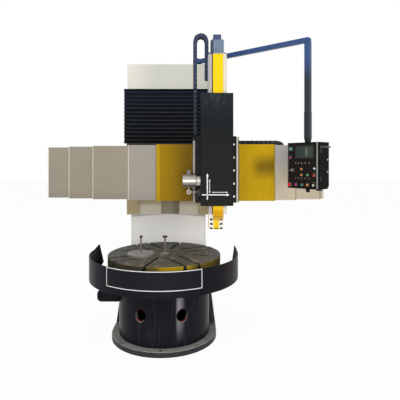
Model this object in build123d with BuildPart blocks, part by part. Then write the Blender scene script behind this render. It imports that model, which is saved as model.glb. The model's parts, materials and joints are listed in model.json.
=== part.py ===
from build123d import *
from math import atan2, cos, degrees, hypot, radians, sin
import os

# Single column vertical lathe, at its real size in millimetres.
# X points right, Y to the back and Z up. The origin lies on the floor under the table's axis.

# Clearances
run_gap = 0.3           # between faces that slide on each other
move_gap = 6.0          # between a moving piece and what it passes

# Base casting: a round tub with a square bed behind it
base_r = 400.0
base_h = 500.0
base_wall = 30.0
deck_t = 40.0
lift_hole_r = 47.5
lift_hole_z = 296.0
lift_hole_angle = 25.5
lift_hole_bevel = 8.0
flare_start_y = 150.0   # where the bed's sloping sides begin
flare_narrowing = 35.0   # of each side, from the foot to the top
flare_top_z = 303.0
flare_foot_inset = 4.0

# Foot plate
foot_ledge = 63.0
foot_t = 45.0
foot_margin = 45.0
foot_bevel = 5.0
anchor_hole_r = 14.0
anchor_inset = 32.0
anchor_front_y = 210.0
anchor_pitch_y = 700.0

# Work table and its bearing
table_r = 500.0
table_disc_t = 150.0
table_lift = 72.0       # from the deck up to the disc
table_bevel = 4.0
hub_inset = 15.0
hub_lift = 5.0          # from the deck up to the hub
bearing_inset = 60.0
bearing_w = 80.0
bearing_h = 40.0
deck_bore_inset = 30.0
slot_neck_w = 28.0
slot_neck_d = 28.0
slot_tee_w = 48.0
slot_tee_d = 22.0
slot_start_r = 165.0
slot_pair_half = 63.0
slot_first_angle = 30.5  # degrees right of the front
rim_groove_d = 6.0
rim_groove_h = 16.0

# Pieces left standing on the table
stand_x, stand_y = -200.0, -83.0
stand_disc_r = 118.0
stand_disc_t = 22.0
stand_bevel = 4.0
stand_rod_r = 7.0
stand_rod_h = 131.0
stand_knob_r = 13.0
stand_knob_h = 18.0
pin_x, pin_y = 8.0, -40.0
pin_foot_r = 34.0
pin_foot_t = 10.0
pin_rod_r = 8.0
pin_rod_h = 138.0
pin_head_r = 22.0
pin_head_t = 14.0

# Splash guard round the table, on its chip tray
trough_w = 157.0
guard_t = 4.0
guard_h = 203.0
tray_rise = 30.0
tray_collar_t = 8.0
guard_left_end = -107.0  # degrees right of the front, at the top
guard_right_end = 102.0
guard_split_angle = 50.0
guard_tip_rise = 30.0
guard_tip_span = 9.0     # degrees
guard_tail_angle = 6.0    # degrees that the end slopes away below
guard_tail_rise = 50.0
guard_tail_span = 6.0    # degrees

# Drive at the left of the base
drive_x0 = -588.0
drive_front_y = -75.0
drive_drop = 85.0        # from the base's top down to the housing
drive_h = 106.0
drive_round_r = 38.0

# Column
column_half_w = 383.0
column_gap = 120.0       # from the table's rim
column_d = 680.0
column_top_z = 2290.0
column_edge_r = 14.0
rail_w = 90.0
rail_t = 40.0
rail_lift = 60.0
crown_side = 43.0
crown_reach = 60.0
crown_h = 260.0
crown_edge_r = 10.0
rear_cover_w = 520.0
rear_cover_low_z = 700.0
rear_cover_h = 1200.0
rear_cover_t = 12.0

# Lower way covers in front of the column, one behind the other
apron_t = 3.0
apron_step = 8.0
apron_reach = 67.0
apron_upper_lift = 162.0  # from the base's top
apron_middle_lift = 87.0
lift_down = 150.0         # how far the crossrail can sink
apron_guide_w = 20.0
apron_guide_h = 40.0

# Bellows above the crossrail
bellows_side = 77.0
bellows_reach = 80.0
bellows_wrap = 25.0      # past the column's front
bellows_wall = 28.0
bellows_depth = 15.0     # of one pleat
bellows_pleats = 13
bellows_plate_t = 12.0

# Crossrail
beam_left_x = -1095.0
beam_len = 2562.0
beam_d = 290.0
beam_low_z = 1215.0
beam_h = 450.0
beam_shelf_d = 100.0     # the chain's shelf at the back
beam_shelf_drop = 73.0
shoe_t = 100.0
shoe_side = 36.0
shoe_below = 212.0
shoe_above = 64.0
shoe_wrap = 25.0
shoe_panel_x0 = -295.0
shoe_panel_x1 = 315.0
shoe_panel_d = 22.0
shoe_recess_x0 = -70.0
shoe_recess_x1 = 112.0
shoe_recess_d = 60.0
shoe_recess_h = 150.0
end_plate_t = 10.0

# Telescopic covers on the crossrail: level 0 is the outermost
cover_t = 2.0
cover_reach = 70.0
cover_margin = 38.0
cover_back_gap = 8.0
cover_step_y = 8.0
cover_step_z = 7.0
cover_wall_t = 4.0
cover_left_1_len = 338.0
cover_left_2_shows, cover_left_2_len = 262.0, 400.0
cover_left_3_shows, cover_left_3_len = 332.0, 430.0
cover_left_4_shows, cover_left_4_len = 224.0, 340.0
left_fixed_len = 300.0
cover_right_1_len = 335.0
cover_right_2_shows, cover_right_2_len = 201.0, 420.0
cover_right_3_shows, cover_right_3_len = 227.0, 440.0
right_fixed_len = 260.0

# Saddle and its wiper strips
saddle_x0 = 274.0
saddle_w = 382.0
saddle_t = 95.0
saddle_below = 52.0
saddle_above = 112.0
wiper_w = 23.0
wiper_low_inset = 2.0
wiper_high_inset = 7.0
keeper_reach = 150.0
keeper_t = 26.0

# Head: a channel casting that guides the ram
head_half_w = 142.0
head_d = 210.0
head_h = 982.0
head_drop = 5.0          # below the saddle
head_cheek = 30.0
head_back_t = 30.0
head_cap_t = 22.0
head_cover_t = 15.0
head_cover_bevel = 3.0

# Ram, its tool holder and its motor
ram_w = 162.0
ram_shift = 6.0          # right of the head's middle
ram_inset = 92.0         # from the head's front to the ram's axis
ram_drop = 71.0          # below the head
ram_len = 1397.0
ram_edge = 6.0
ram_strip_w = 88.0
ram_strip_shift = 4.0    # right of the ram's axis
ram_strip_t = 5.0
ram_strip_drop = 46.0
ram_groove_w = 10.0
ram_groove_d = 8.0
tool_w = 134.0
tool_shift = -11.0       # right of the ram's axis
tool_h = 137.0
tool_edge = 4.0
tool_bore_r = 25.0
tool_bore_d = 80.0
ram_flange_t = 12.0
ram_motor_w = 116.0
ram_motor_h = 126.0
ram_motor_shoulder = 12.0
ram_motor_fins = 9
ram_motor_cap_w = 70.0
ram_motor_cap_h = 46.0

# Drum and eye link at the head's left side
drum_r = 56.0
drum_len = 123.0
drum_bevel = 3.0
drum_gap = 37.0          # from the head
drum_inset = 59.0        # before the saddle's front
drum_lift = 204.0
drum_arm_h = 80.0
eye_inset = 55.0
eye_drop = 100.0
eye_r = 22.0
eye_bore_r = 9.0
eye_t = 16.0
eye_rod_r = 6.4
eye_pin_r = 5.6
eye_plate_len = 35.0
eye_plate_h = 78.0
eye_plate_t = 12.0

# Cable chains: size of the links
chain_w = 40.0
chain_t = 36.0
chain_pitch = 44.0
chain_core_inset = 5.0
chain_side_inset = 4.0
chain_link_gap = 4.0

# Cable chain behind the head, from the saddle up and over to the ram
z_chain_w = 84.0
z_chain_back = 48.0
z_chain_left = 190.0     # left of the head's middle
z_chain_right = 83.0
z_chain_lift = 23.0
z_chain_above = 176.0
z_chain_below = 174.0
z_chain_seat_w = 66.0
hanger_t = 10.0

# Cable chain behind the crossrail covers
x_chain_back = 35.0
x_chain_t = 42.0
x_chain_start = 44.0     # right of the saddle
x_chain_reach = 439.0
x_chain_rise = 85.0
x_chain_arm_inset = 16.0
x_chain_arm_w = 70.0
x_chain_arm_t = 8.0

# Pendant arm
arm_pivot_x = 297.0
arm_pivot_inset = 15.0   # behind the column's front
arm_end_x = 1244.0
arm_end_reach = 280.0    # before the crossrail covers
arm_w = 46.0
arm_h = 42.0
arm_corner_r = 18.0
arm_hub_r = 44.0
pivot_pin_r = 18.0
pivot_flange_r = 44.0
pivot_flange_t = 17.0
pivot_nut_r = 28.0
pivot_nut_t = 12.0
post_w = 48.0
post_edge = 3.0
sleeve_w = 51.0
sleeve_h = 226.0

# Control pendant
pendant_yaw = 53.0       # degrees from facing the front to facing left
pendant_w = 320.0
pendant_h = 392.0
pendant_d = 150.0
pendant_low_z = 1314.0
pendant_edge_r = 5.0
pendant_bevel = 26.0     # along the lower edge at the back
panel_margin = 9.0
panel_t = 3.0
screen_u = 26.0
screen_lift = 311.0
screen_w, screen_h = 176.0, 98.0
screen_t = 4.0
neck_h = 37.0
neck_top_w = 46.0
neck_taper = 8.0
door_inset = 16.0
door_t = 4.0
handle_lift = 350.0
handle_span = 84.0
handle_reach = 34.0
handle_r = 6.5
handle_bend_r = 16.0
gland_r = 20.0
gland_h = 34.0
gland_taper = 10.0

# Knobs and buttons: place along the panel, height above its foot, radius and how far each stands out
panel_controls = (
    (-113, 339, 17, 22), (-124, 265, 11, 12), (-102, 156, 19, 20), (-6, 166, 11, 12), (-6, 116, 11, 12),
    (57, 117, 11, 12), (122, 115, 11, 12), (126, 172, 11, 12), (-128, 30, 17, 26), (-64, 32, 12, 12),
    (0, 33, 12, 12), (57, 35, 12, 12), (117, 34, 12, 12),
)

# Worked-out places of the base, the table and the column
foot_r = base_r + foot_ledge
anchor_x = foot_r - anchor_inset
hub_r = base_r - hub_inset
bearing_r = base_r - bearing_inset
bearing_bore_r = bearing_r - bearing_w
deck_bore_r = bearing_bore_r - deck_bore_inset
table_disc_z = base_h + table_lift
table_top_z = table_disc_z + table_disc_t
rim_groove_z = table_disc_z + table_disc_t / 2
guard_r = table_r + trough_w
guard_low_z = base_h + tray_rise
column_front_y = table_r + column_gap
column_back_y = column_front_y + column_d
foot_back_y = column_back_y + foot_margin
rail_front_y = column_front_y - rail_t
crown_top_z = column_top_z + crown_h
drive_high_z = base_h - drive_drop
drive_low_z = drive_high_z - drive_h
drive_back_y = column_front_y
flare_left_top_z = drive_low_z - move_gap
apron_front_y = column_front_y - apron_reach

# Worked-out places of the crossrail and its covers
beam_right_x = beam_left_x + beam_len
beam_high_z = beam_low_z + beam_h
beam_back_y = rail_front_y - shoe_t
beam_front_y = beam_back_y - beam_d
beam_shelf_y = beam_back_y - beam_shelf_d
beam_shelf_z = beam_high_z - beam_shelf_drop
shoe_low_z = beam_low_z - shoe_below
shoe_high_z = beam_high_z + shoe_above
cover_front_y = beam_front_y - cover_reach
cover_back_y = beam_shelf_y - cover_back_gap
cover_low_z = beam_low_z - cover_margin
cover_high_z = beam_high_z + cover_margin

# Worked-out places of the saddle, the head and the ram
saddle_x1 = saddle_x0 + saddle_w
saddle_back_y = beam_front_y - run_gap
saddle_front_y = beam_front_y - saddle_t
saddle_low_z = beam_low_z - saddle_below
saddle_high_z = beam_high_z + saddle_above
saddle_cover_left_x = saddle_x0 - wiper_w
saddle_cover_right_x = saddle_x1 + wiper_w
head_x = saddle_x0 + saddle_w / 2
head_x0 = head_x - head_half_w
head_x1 = head_x + head_half_w
head_back_y = saddle_front_y
head_front_y = head_back_y - head_d
head_low_z = saddle_low_z - head_drop
head_high_z = head_low_z + head_h
ram_x = head_x + ram_shift
ram_y = head_front_y + ram_inset
ram_front_y = ram_y - ram_w / 2
ram_back_y = ram_y + ram_w / 2
ram_strip_x0 = ram_x + ram_strip_shift - ram_strip_w / 2
ram_low_z = head_low_z - ram_drop
ram_high_z = ram_low_z + ram_len
tool_x = ram_x + tool_shift
tool_low_z = ram_low_z - tool_h
drum_x1 = head_x0 - drum_gap
drum_x0 = drum_x1 - drum_len
drum_y = saddle_front_y - drum_inset
drum_z = saddle_low_z + drum_lift
eye_x = drum_x0 + eye_inset
eye_z = drum_z - eye_drop
eye_plate_x = head_x0 - eye_plate_len

# Worked-out places of the chains, the arm and the pendant
z_chain_y = saddle_front_y + z_chain_back
z_chain_left_x = head_x - z_chain_left
z_chain_right_x = head_x - z_chain_right
z_chain_low_z = saddle_high_z + z_chain_lift
z_chain_end_z = ram_high_z - z_chain_below
z_chain_centre_z = ram_high_z + z_chain_above
z_chain_mid_x = (z_chain_left_x + z_chain_right_x) / 2
z_chain_r = (z_chain_right_x - z_chain_left_x) / 2
hanger_x = z_chain_right_x + chain_t / 2 + run_gap
x_chain_y = beam_shelf_y + x_chain_back
x_chain_low_x = saddle_x1 + x_chain_start
x_chain_bend_x = saddle_x1 + x_chain_reach
x_chain_arm_x = saddle_x1 - x_chain_arm_inset
x_chain_top_z = beam_high_z + x_chain_rise
x_chain_low_z = beam_shelf_z + run_gap + x_chain_t / 2
x_chain_high_z = x_chain_top_z - x_chain_t / 2
x_chain_r = (x_chain_high_z - x_chain_low_z) / 2
arm_pivot_y = column_front_y + arm_pivot_inset
arm_end_y = cover_front_y - arm_end_reach
arm_low_z = crown_top_z + pivot_flange_t + run_gap
arm_high_z = arm_low_z + arm_h
arm_angle = atan2(arm_end_y - arm_pivot_y, arm_end_x - arm_pivot_x)
arm_along = (cos(arm_angle), sin(arm_angle), 0)
arm_len = hypot(arm_end_x - arm_pivot_x, arm_end_y - arm_pivot_y)
pendant_high_z = pendant_low_z + pendant_h
post_low_z = pendant_high_z + neck_h
screen_z = pendant_low_z + screen_lift

os.makedirs("parts", exist_ok=True)


def rect(x0, x1, y0, y1, mode=Mode.ADD):
    """A rectangle between two corners of the open sketch."""
    with Locations(((x0 + x1) / 2, (y0 + y1) / 2)):
        Rectangle(abs(x1 - x0), abs(y1 - y0), mode=mode)


def front_plane(y):
    """A plane across the machine at depth y, seen from the front: X right, Z up."""
    return Plane(origin=(0, y, 0), x_dir=(1, 0, 0), z_dir=(0, -1, 0))


def ring_band(r_in, r_out, from_front, to_front):
    """A ring sector in the open sketch, its ends in degrees right of the front."""
    start = from_front - 90
    sweep = to_front - from_front
    with BuildLine() as edge:
        outer = CenterArc((0, 0), r_out, start, sweep)
        inner = CenterArc((0, 0), r_in, start, sweep)
        Line(outer @ 0, inner @ 0)
        Line(outer @ 1, inner @ 1)
    make_face(edge.edges())


def save(piece, name):
    """Labels one of several like pieces and writes it."""
    piece.label = name
    export_step(piece, f"parts/{name}.step")


# Base

with BuildPart() as foot_plate:
    with BuildSketch(Plane.XY):
        Circle(foot_r)
        rect(-foot_r, foot_r, 0, foot_back_y)
    extrude(amount=foot_t)
    chamfer(foot_plate.faces().sort_by(Axis.Z)[-1].edges(), foot_bevel)
    with Locations((0, -anchor_x, foot_t),
                   (-anchor_x, anchor_front_y, foot_t), (anchor_x, anchor_front_y, foot_t),
                   (-anchor_x, anchor_front_y + anchor_pitch_y, foot_t),
                   (anchor_x, anchor_front_y + anchor_pitch_y, foot_t)):
        Hole(anchor_hole_r, depth=foot_t)
foot_plate.part.label = "foot_plate"
export_step(foot_plate.part, "parts/foot_plate.step")

with BuildPart() as base_casting:
    with BuildSketch(Plane.XY.offset(foot_t)):
        Circle(base_r)
        rect(-column_half_w, column_half_w, 0, column_front_y)
    extrude(amount=base_h - foot_t)
    with BuildSketch(front_plane(flare_start_y)):
        for side, top_z in ((-1, flare_left_top_z), (1, flare_top_z)):
            foot_half_w = foot_r - flare_foot_inset
            top_half_w = foot_half_w - flare_narrowing * (top_z - foot_t) / (flare_top_z - foot_t)
            with BuildLine():
                Polyline((side * (column_half_w - base_wall), foot_t), (side * foot_half_w, foot_t),
                         (side * top_half_w, top_z), (side * (column_half_w - base_wall), top_z),
                         close=True)
            make_face()
    extrude(amount=flare_start_y - column_front_y)
    with BuildSketch(Plane.XY.offset(foot_t)):
        Circle(base_r - base_wall)
        rect(-column_half_w + base_wall, column_half_w - base_wall, 0, column_front_y - base_wall)
    extrude(amount=base_h - foot_t - deck_t, mode=Mode.SUBTRACT)
    with BuildSketch(Plane.XY.offset(base_h)):
        Circle(deck_bore_r)
    extrude(amount=-deck_t, mode=Mode.SUBTRACT)
    for side in (-1, 1):
        turn = radians(side * lift_hole_angle)
        outward = (sin(turn), -cos(turn), 0)
        mouth = Plane(origin=(base_r * outward[0], base_r * outward[1], lift_hole_z), z_dir=outward)
        with BuildSketch(mouth):
            Circle(lift_hole_r)
        extrude(amount=-2 * base_wall, mode=Mode.SUBTRACT)
        with BuildSketch(mouth):
            Circle(lift_hole_r + lift_hole_bevel)
        extrude(amount=-lift_hole_bevel, taper=45, mode=Mode.SUBTRACT)
base_casting.part.label = "base_casting"
export_step(base_casting.part, "parts/base_casting.step")

with BuildPart() as table_bearing:
    with BuildSketch(Plane.XY.offset(base_h)):
        Circle(bearing_r)
        Circle(bearing_bore_r, mode=Mode.SUBTRACT)
    extrude(amount=bearing_h)
table_bearing.part.label = "table_bearing"
export_step(table_bearing.part, "parts/table_bearing.step")

# Work table

with BuildPart() as worktable:
    with BuildSketch(Plane.XZ):
        with BuildLine():
            Polyline(
                (0, table_top_z),
                (table_r - table_bevel, table_top_z),
                (table_r, table_top_z - table_bevel),
                (table_r, rim_groove_z + rim_groove_h / 2),
                (table_r - rim_groove_d, rim_groove_z + rim_groove_h / 2),
                (table_r - rim_groove_d, rim_groove_z - rim_groove_h / 2),
                (table_r, rim_groove_z - rim_groove_h / 2),
                (table_r, table_disc_z),
                (hub_r, table_disc_z),
                (hub_r, base_h + hub_lift),
                (bearing_r + move_gap, base_h + hub_lift),
                (bearing_r + move_gap, base_h + bearing_h + run_gap),
                (0, base_h + bearing_h + run_gap),
                close=True,
            )
        make_face()
    revolve(axis=Axis.Z)
    slot_lines = []
    for quarter in range(4):
        across = slot_first_angle + 90 * quarter
        slot_lines += [(across, -slot_pair_half), (across, slot_pair_half), (across - 45, 0)]
    for angle, aside in slot_lines:
        turn = radians(angle)
        along = (sin(turn), -cos(turn), 0)
        origin = (aside * cos(turn), aside * sin(turn), table_top_z)
        top = Plane(origin=origin, x_dir=along, z_dir=(0, 0, 1))
        with BuildSketch(top):
            rect(slot_start_r, table_r + slot_tee_w, -slot_neck_w / 2, slot_neck_w / 2)
        extrude(amount=-slot_neck_d, mode=Mode.SUBTRACT)
        with BuildSketch(top.offset(-slot_neck_d)):
            rect(slot_start_r, table_r + slot_tee_w, -slot_tee_w / 2, slot_tee_w / 2)
        extrude(amount=-slot_tee_d, mode=Mode.SUBTRACT)
worktable.part.label = "worktable"
export_step(worktable.part, "parts/worktable.step")


def stacked_rounds(name, x, y, steps, bevel):
    """Round steps standing on the table one on another; steps hold radius and height."""
    z = table_top_z
    with BuildPart() as stack:
        for radius, height in steps:
            with BuildSketch(Plane.XY.offset(z)):
                with Locations((x, y)):
                    Circle(radius)
            extrude(amount=height)
            if z == table_top_z:
                chamfer(stack.faces().sort_by(Axis.Z)[-1].edges(), bevel)
            z += height
    save(stack.part, name)


stacked_rounds("rod_stand", stand_x, stand_y, ((stand_disc_r, stand_disc_t), (stand_rod_r, stand_rod_h),
                                               (stand_knob_r, stand_knob_h)), stand_bevel)
stacked_rounds("centre_pin", pin_x, pin_y, ((pin_foot_r, pin_foot_t), (pin_rod_r, pin_rod_h),
                                            (pin_head_r, pin_head_t)), stand_bevel / 2)

# Splash guard


def guard_segment(name, from_front, to_front, tip=0):
    """A stretch of the guard's wall; tip is the side that ends in a raised point."""
    tail = guard_tail_angle if tip else 0
    wall_start = from_front - tail if tip < 0 else from_front
    wall_end = to_front + tail if tip > 0 else to_front
    with BuildPart() as guard:
        with BuildSketch(Plane.XY.offset(guard_low_z)):
            ring_band(guard_r - guard_t, guard_r, wall_start, wall_end)
        extrude(amount=guard_h + (guard_tip_rise if tip else 0))
        if tip:
            point = to_front if tip > 0 else from_front
            middle = radians(point)
            ahead = (tip * cos(middle), tip * sin(middle), 0)
            side_on = Plane(origin=(guard_r * sin(middle), -guard_r * cos(middle), guard_low_z),
                            x_dir=ahead, z_dir=(tip * -sin(middle), tip * cos(middle), 0))
            up = 1 if side_on.y_dir.Z > 0 else -1
            climb = guard_r * sin(radians(guard_tip_span))
            lean = guard_r * sin(radians(guard_tail_angle))
            under = guard_r * sin(radians(guard_tail_span))
            far = guard_r
            above = guard_h + 2 * guard_tip_rise
            with BuildSketch(side_on):
                with BuildLine():
                    Polyline((-far, up * guard_h), (-climb, up * guard_h),
                             (0, up * (guard_h + guard_tip_rise)), (lean, up * guard_tail_rise),
                             (lean - under, 0), (lean - under, -up * guard_t), (far, -up * guard_t),
                             (far, up * above), (-far, up * above), close=True)
                make_face()
            extrude(amount=far / 2, both=True, mode=Mode.SUBTRACT)
    save(guard.part, name)


guard_segment("guard_left", guard_left_end, -guard_split_angle, tip=-1)
guard_segment("guard_front", -guard_split_angle, guard_split_angle)
guard_segment("guard_right", guard_split_angle, guard_right_end, tip=1)

with BuildPart() as guard_tray:
    with BuildSketch(Plane.XY.offset(guard_low_z)):
        ring_band(base_r - tray_collar_t, guard_r - guard_t - run_gap, guard_left_end, guard_right_end)
    extrude(amount=guard_t)
    with BuildSketch(Plane.XY.offset(base_h)):
        ring_band(base_r - tray_collar_t, base_r, guard_left_end, guard_right_end)
    extrude(amount=tray_rise)
guard_tray.part.label = "guard_tray"
export_step(guard_tray.part, "parts/guard_tray.step")

# Drive

with BuildPart() as belt_housing:
    with BuildSketch(front_plane(drive_front_y)):
        rect(drive_x0, -base_r / 2, drive_low_z, drive_high_z)
        fillet(vertices().group_by(Axis.X)[0], drive_round_r)
    extrude(amount=drive_front_y - drive_back_y)
    with BuildSketch(Plane.XY.offset(drive_low_z)):
        Circle(base_r + run_gap)
        rect(-column_half_w - move_gap, 0, 0, drive_back_y + move_gap)
    extrude(amount=drive_h, mode=Mode.SUBTRACT)
belt_housing.part.label = "belt_housing"
export_step(belt_housing.part, "parts/belt_housing.step")

# Column

with BuildPart() as column:
    with BuildSketch(Plane.XY.offset(foot_t)):
        rect(-column_half_w, column_half_w, column_front_y, column_back_y)
        fillet(vertices().group_by(Axis.Y)[-1], column_edge_r)
    extrude(amount=column_top_z - foot_t)
column.part.label = "column"
export_step(column.part, "parts/column.step")

with BuildPart() as rear_cover:
    with BuildSketch(front_plane(column_back_y + rear_cover_t)):
        rect(-rear_cover_w / 2, rear_cover_w / 2, rear_cover_low_z, rear_cover_low_z + rear_cover_h)
        fillet(vertices(), column_edge_r)
    extrude(amount=rear_cover_t)
rear_cover.part.label = "rear_cover"
export_step(rear_cover.part, "parts/rear_cover.step")

with BuildPart() as column_guide_rails:
    with BuildSketch(Plane.XY.offset(base_h + rail_lift)):
        for side in (-1, 1):
            rect(side * (column_half_w - rail_w), side * column_half_w, rail_front_y, column_front_y)
    extrude(amount=column_top_z - base_h - rail_lift)
column_guide_rails.part.label = "column_guide_rails"
export_step(column_guide_rails.part, "parts/column_guide_rails.step")

with BuildPart() as column_crown:
    crown_half_w = column_half_w + crown_side
    with BuildSketch(Plane.XY.offset(column_top_z)):
        rect(-crown_half_w, crown_half_w, column_front_y - crown_reach, column_back_y)
    extrude(amount=crown_h)
    fillet(column_crown.edges().filter_by(Axis.Z), crown_edge_r)
column_crown.part.label = "column_crown"
export_step(column_crown.part, "parts/column_crown.step")

# Lower way covers


def apron(name, depth, low_z, high_z):
    """A flat lower way cover, some steps behind the foremost one."""
    y = apron_front_y + depth * apron_step
    with BuildPart() as sheet:
        with BuildSketch(Plane.XY.offset(low_z)):
            rect(-column_half_w, column_half_w, y, y + apron_t)
        extrude(amount=high_z - low_z)
    save(sheet.part, name)


apron("apron_upper", 0, base_h + apron_upper_lift, shoe_low_z)
apron("apron_lower", 2, base_h, shoe_low_z - lift_down - 2 * move_gap)

with BuildPart() as apron_middle:
    middle_y = apron_front_y + apron_step
    middle_low_z = base_h + apron_middle_lift
    middle_high_z = shoe_low_z - lift_down / 2 - move_gap
    with BuildSketch(Plane.XY.offset(middle_low_z)):
        rect(-column_half_w, column_half_w, middle_y, middle_y + apron_t)
    extrude(amount=middle_high_z - middle_low_z)
    with BuildSketch(Plane.XY.offset(middle_low_z)):
        for side in (-1, 1):
            guide_x = column_half_w - rail_w / 2
            rect(side * guide_x, side * (guide_x + apron_guide_w),
                 middle_y + apron_t, middle_y + apron_step - run_gap)
    extrude(amount=apron_guide_h)
apron_middle.part.label = "apron_middle"
export_step(apron_middle.part, "parts/apron_middle.step")

# Bellows

bellows_half_w = column_half_w + bellows_side
bellows_front_y = column_front_y - bellows_reach
bellows_back_y = column_front_y + bellows_wrap


def plate_with_notch(z, thickness):
    """A plate round the front and sides of the column, clear of the rails."""
    with BuildSketch(Plane.XY.offset(z)) as outline:
        rect(-bellows_half_w, bellows_half_w, bellows_front_y, bellows_back_y)
        rect(-column_half_w - move_gap, column_half_w + move_gap,
             rail_front_y - move_gap, bellows_back_y, mode=Mode.SUBTRACT)
    extrude(outline.sketch, amount=thickness)


with BuildPart() as bellows_top_plate:
    plate_with_notch(column_top_z - bellows_plate_t, bellows_plate_t)
bellows_top_plate.part.label = "bellows_top_plate"
export_step(bellows_top_plate.part, "parts/bellows_top_plate.step")

with BuildPart() as bellows_low_plate:
    plate_with_notch(shoe_high_z, bellows_plate_t)
bellows_low_plate.part.label = "bellows_low_plate"
export_step(bellows_low_plate.part, "parts/bellows_low_plate.step")

bellows_low_z = shoe_high_z + bellows_plate_t + run_gap
bellows_high_z = column_top_z - bellows_plate_t - run_gap
pleat = (bellows_high_z - bellows_low_z) / bellows_pleats


def zigzag(outer, inner):
    """Points up a pleated edge: inner at each fold line, outer at each crest."""
    points = []
    for k in range(bellows_pleats):
        points.append((inner, bellows_low_z + k * pleat))
        points.append((outer, bellows_low_z + (k + 0.5) * pleat))
    points.append((inner, bellows_high_z))
    return points


with BuildPart() as bellows:
    with BuildSketch(Plane.YZ.offset(-bellows_half_w)):
        with BuildLine():
            Polyline(*zigzag(bellows_front_y, bellows_front_y + bellows_depth),
                     (bellows_back_y, bellows_high_z), (bellows_back_y, bellows_low_z), close=True)
        make_face()
    extrude(amount=2 * bellows_half_w)
    with BuildSketch(front_plane(bellows_back_y)):
        with BuildLine():
            right = zigzag(bellows_half_w, bellows_half_w - bellows_depth)
            left = [(-x, z) for x, z in reversed(right)]
            Polyline(*right, *left, close=True)
        make_face()
    extrude(amount=bellows_back_y - bellows_front_y, mode=Mode.INTERSECT)
    with BuildSketch(Plane.XY.offset(bellows_low_z)):
        rect(-bellows_half_w + bellows_wall, bellows_half_w - bellows_wall,
             bellows_front_y + bellows_wall, bellows_back_y)
    extrude(amount=bellows_high_z - bellows_low_z, mode=Mode.SUBTRACT)
bellows.part.label = "bellows"
export_step(bellows.part, "parts/bellows.step")

# Crossrail

with BuildPart() as crossrail_beam:
    with BuildSketch(Plane.YZ.offset(beam_left_x)):
        with BuildLine():
            Polyline((beam_front_y, beam_low_z), (beam_back_y, beam_low_z),
                     (beam_back_y, beam_shelf_z), (beam_shelf_y, beam_shelf_z),
                     (beam_shelf_y, beam_high_z), (beam_front_y, beam_high_z), close=True)
        make_face()
    extrude(amount=beam_len)
crossrail_beam.part.label = "crossrail_beam"
export_step(crossrail_beam.part, "parts/crossrail_beam.step")

with BuildPart() as crossrail_shoe:
    shoe_half_w = column_half_w + shoe_side
    with BuildSketch(Plane.XY.offset(shoe_low_z)):
        rect(-shoe_half_w, shoe_half_w, beam_back_y, column_front_y + shoe_wrap)
        rect(-column_half_w - run_gap, column_half_w + run_gap,
             rail_front_y - run_gap, column_front_y + shoe_wrap, mode=Mode.SUBTRACT)
    extrude(amount=shoe_high_z - shoe_low_z)
    with BuildSketch(front_plane(beam_back_y)):
        rect(shoe_panel_x0, shoe_panel_x1, shoe_low_z, beam_low_z)
    extrude(amount=-shoe_panel_d, mode=Mode.SUBTRACT)
    with BuildSketch(front_plane(beam_back_y)):
        rect(shoe_recess_x0, shoe_recess_x1, shoe_low_z, shoe_low_z + shoe_recess_h)
    extrude(amount=-shoe_recess_d, mode=Mode.SUBTRACT)
crossrail_shoe.part.label = "crossrail_shoe"
export_step(crossrail_shoe.part, "parts/crossrail_shoe.step")

left_covers = ((cover_left_2_shows, cover_left_2_len), (cover_left_3_shows, cover_left_3_len),
               (cover_left_4_shows, cover_left_4_len))
right_covers = ((cover_right_2_shows, cover_right_2_len), (cover_right_3_shows, cover_right_3_len))
left_fixed_level = len(left_covers) + 1
right_fixed_level = len(right_covers) + 1


def cover_outline(level):
    """Front, low and high edge of a crossrail cover."""
    return (cover_front_y + level * cover_step_y,
            cover_low_z + level * cover_step_z,
            cover_high_z - level * cover_step_z)


with BuildPart() as crossrail_end_plates:
    for x, level in ((beam_left_x - end_plate_t, left_fixed_level), (beam_right_x, right_fixed_level)):
        front, low, high = cover_outline(level)
        with BuildSketch(Plane.YZ.offset(x)):
            rect(front, cover_back_y, low, high)
            rect(cover_back_y, beam_back_y, low, beam_shelf_z)
        extrude(amount=end_plate_t)
crossrail_end_plates.part.label = "crossrail_end_plates"
export_step(crossrail_end_plates.part, "parts/crossrail_end_plates.step")


def cover_channel(x0, x1, level, wall_x=None):
    """A sheet channel round the beam; its end wall at wall_x slides on the beam."""
    front, low, high = cover_outline(level)
    with BuildSketch(Plane.YZ.offset(x0)) as section:
        rect(front, cover_back_y, low, high)
        rect(front + cover_t, cover_back_y, low + cover_t, high - cover_t, mode=Mode.SUBTRACT)
    extrude(section.sketch, amount=x1 - x0)
    if wall_x is not None:
        with BuildSketch(Plane.YZ.offset(wall_x)) as wall:
            rect(front, cover_back_y, low, high)
            rect(beam_front_y - run_gap, cover_back_y, beam_low_z - run_gap, beam_high_z + run_gap,
                 mode=Mode.SUBTRACT)
        extrude(wall.sketch, amount=cover_wall_t)


end_x = saddle_cover_left_x - cover_left_1_len
for k, (shows, length) in enumerate(left_covers):
    end_x -= shows
    with BuildPart() as cover:
        cover_channel(end_x, end_x + length, k + 1, end_x + length - cover_wall_t)
    save(cover.part, f"cover_left_{k + 2}")

end_x = saddle_cover_right_x + cover_right_1_len
for k, (shows, length) in enumerate(right_covers):
    end_x += shows
    with BuildPart() as cover:
        cover_channel(end_x - length, end_x, k + 1, end_x - length)
    save(cover.part, f"cover_right_{k + 2}")

with BuildPart() as fixed_covers:
    cover_channel(beam_left_x, beam_left_x + left_fixed_len, left_fixed_level)
    cover_channel(beam_right_x - right_fixed_len, beam_right_x, right_fixed_level)
fixed_covers.part.label = "fixed_covers"
export_step(fixed_covers.part, "parts/fixed_covers.step")

with BuildPart() as saddle_covers:
    cover_channel(saddle_cover_left_x - cover_left_1_len, saddle_cover_left_x, 0)
    cover_channel(saddle_cover_right_x, saddle_cover_right_x + cover_right_1_len, 0)
saddle_covers.part.label = "saddle_covers"
export_step(saddle_covers.part, "parts/saddle_covers.step")

# Saddle

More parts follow.
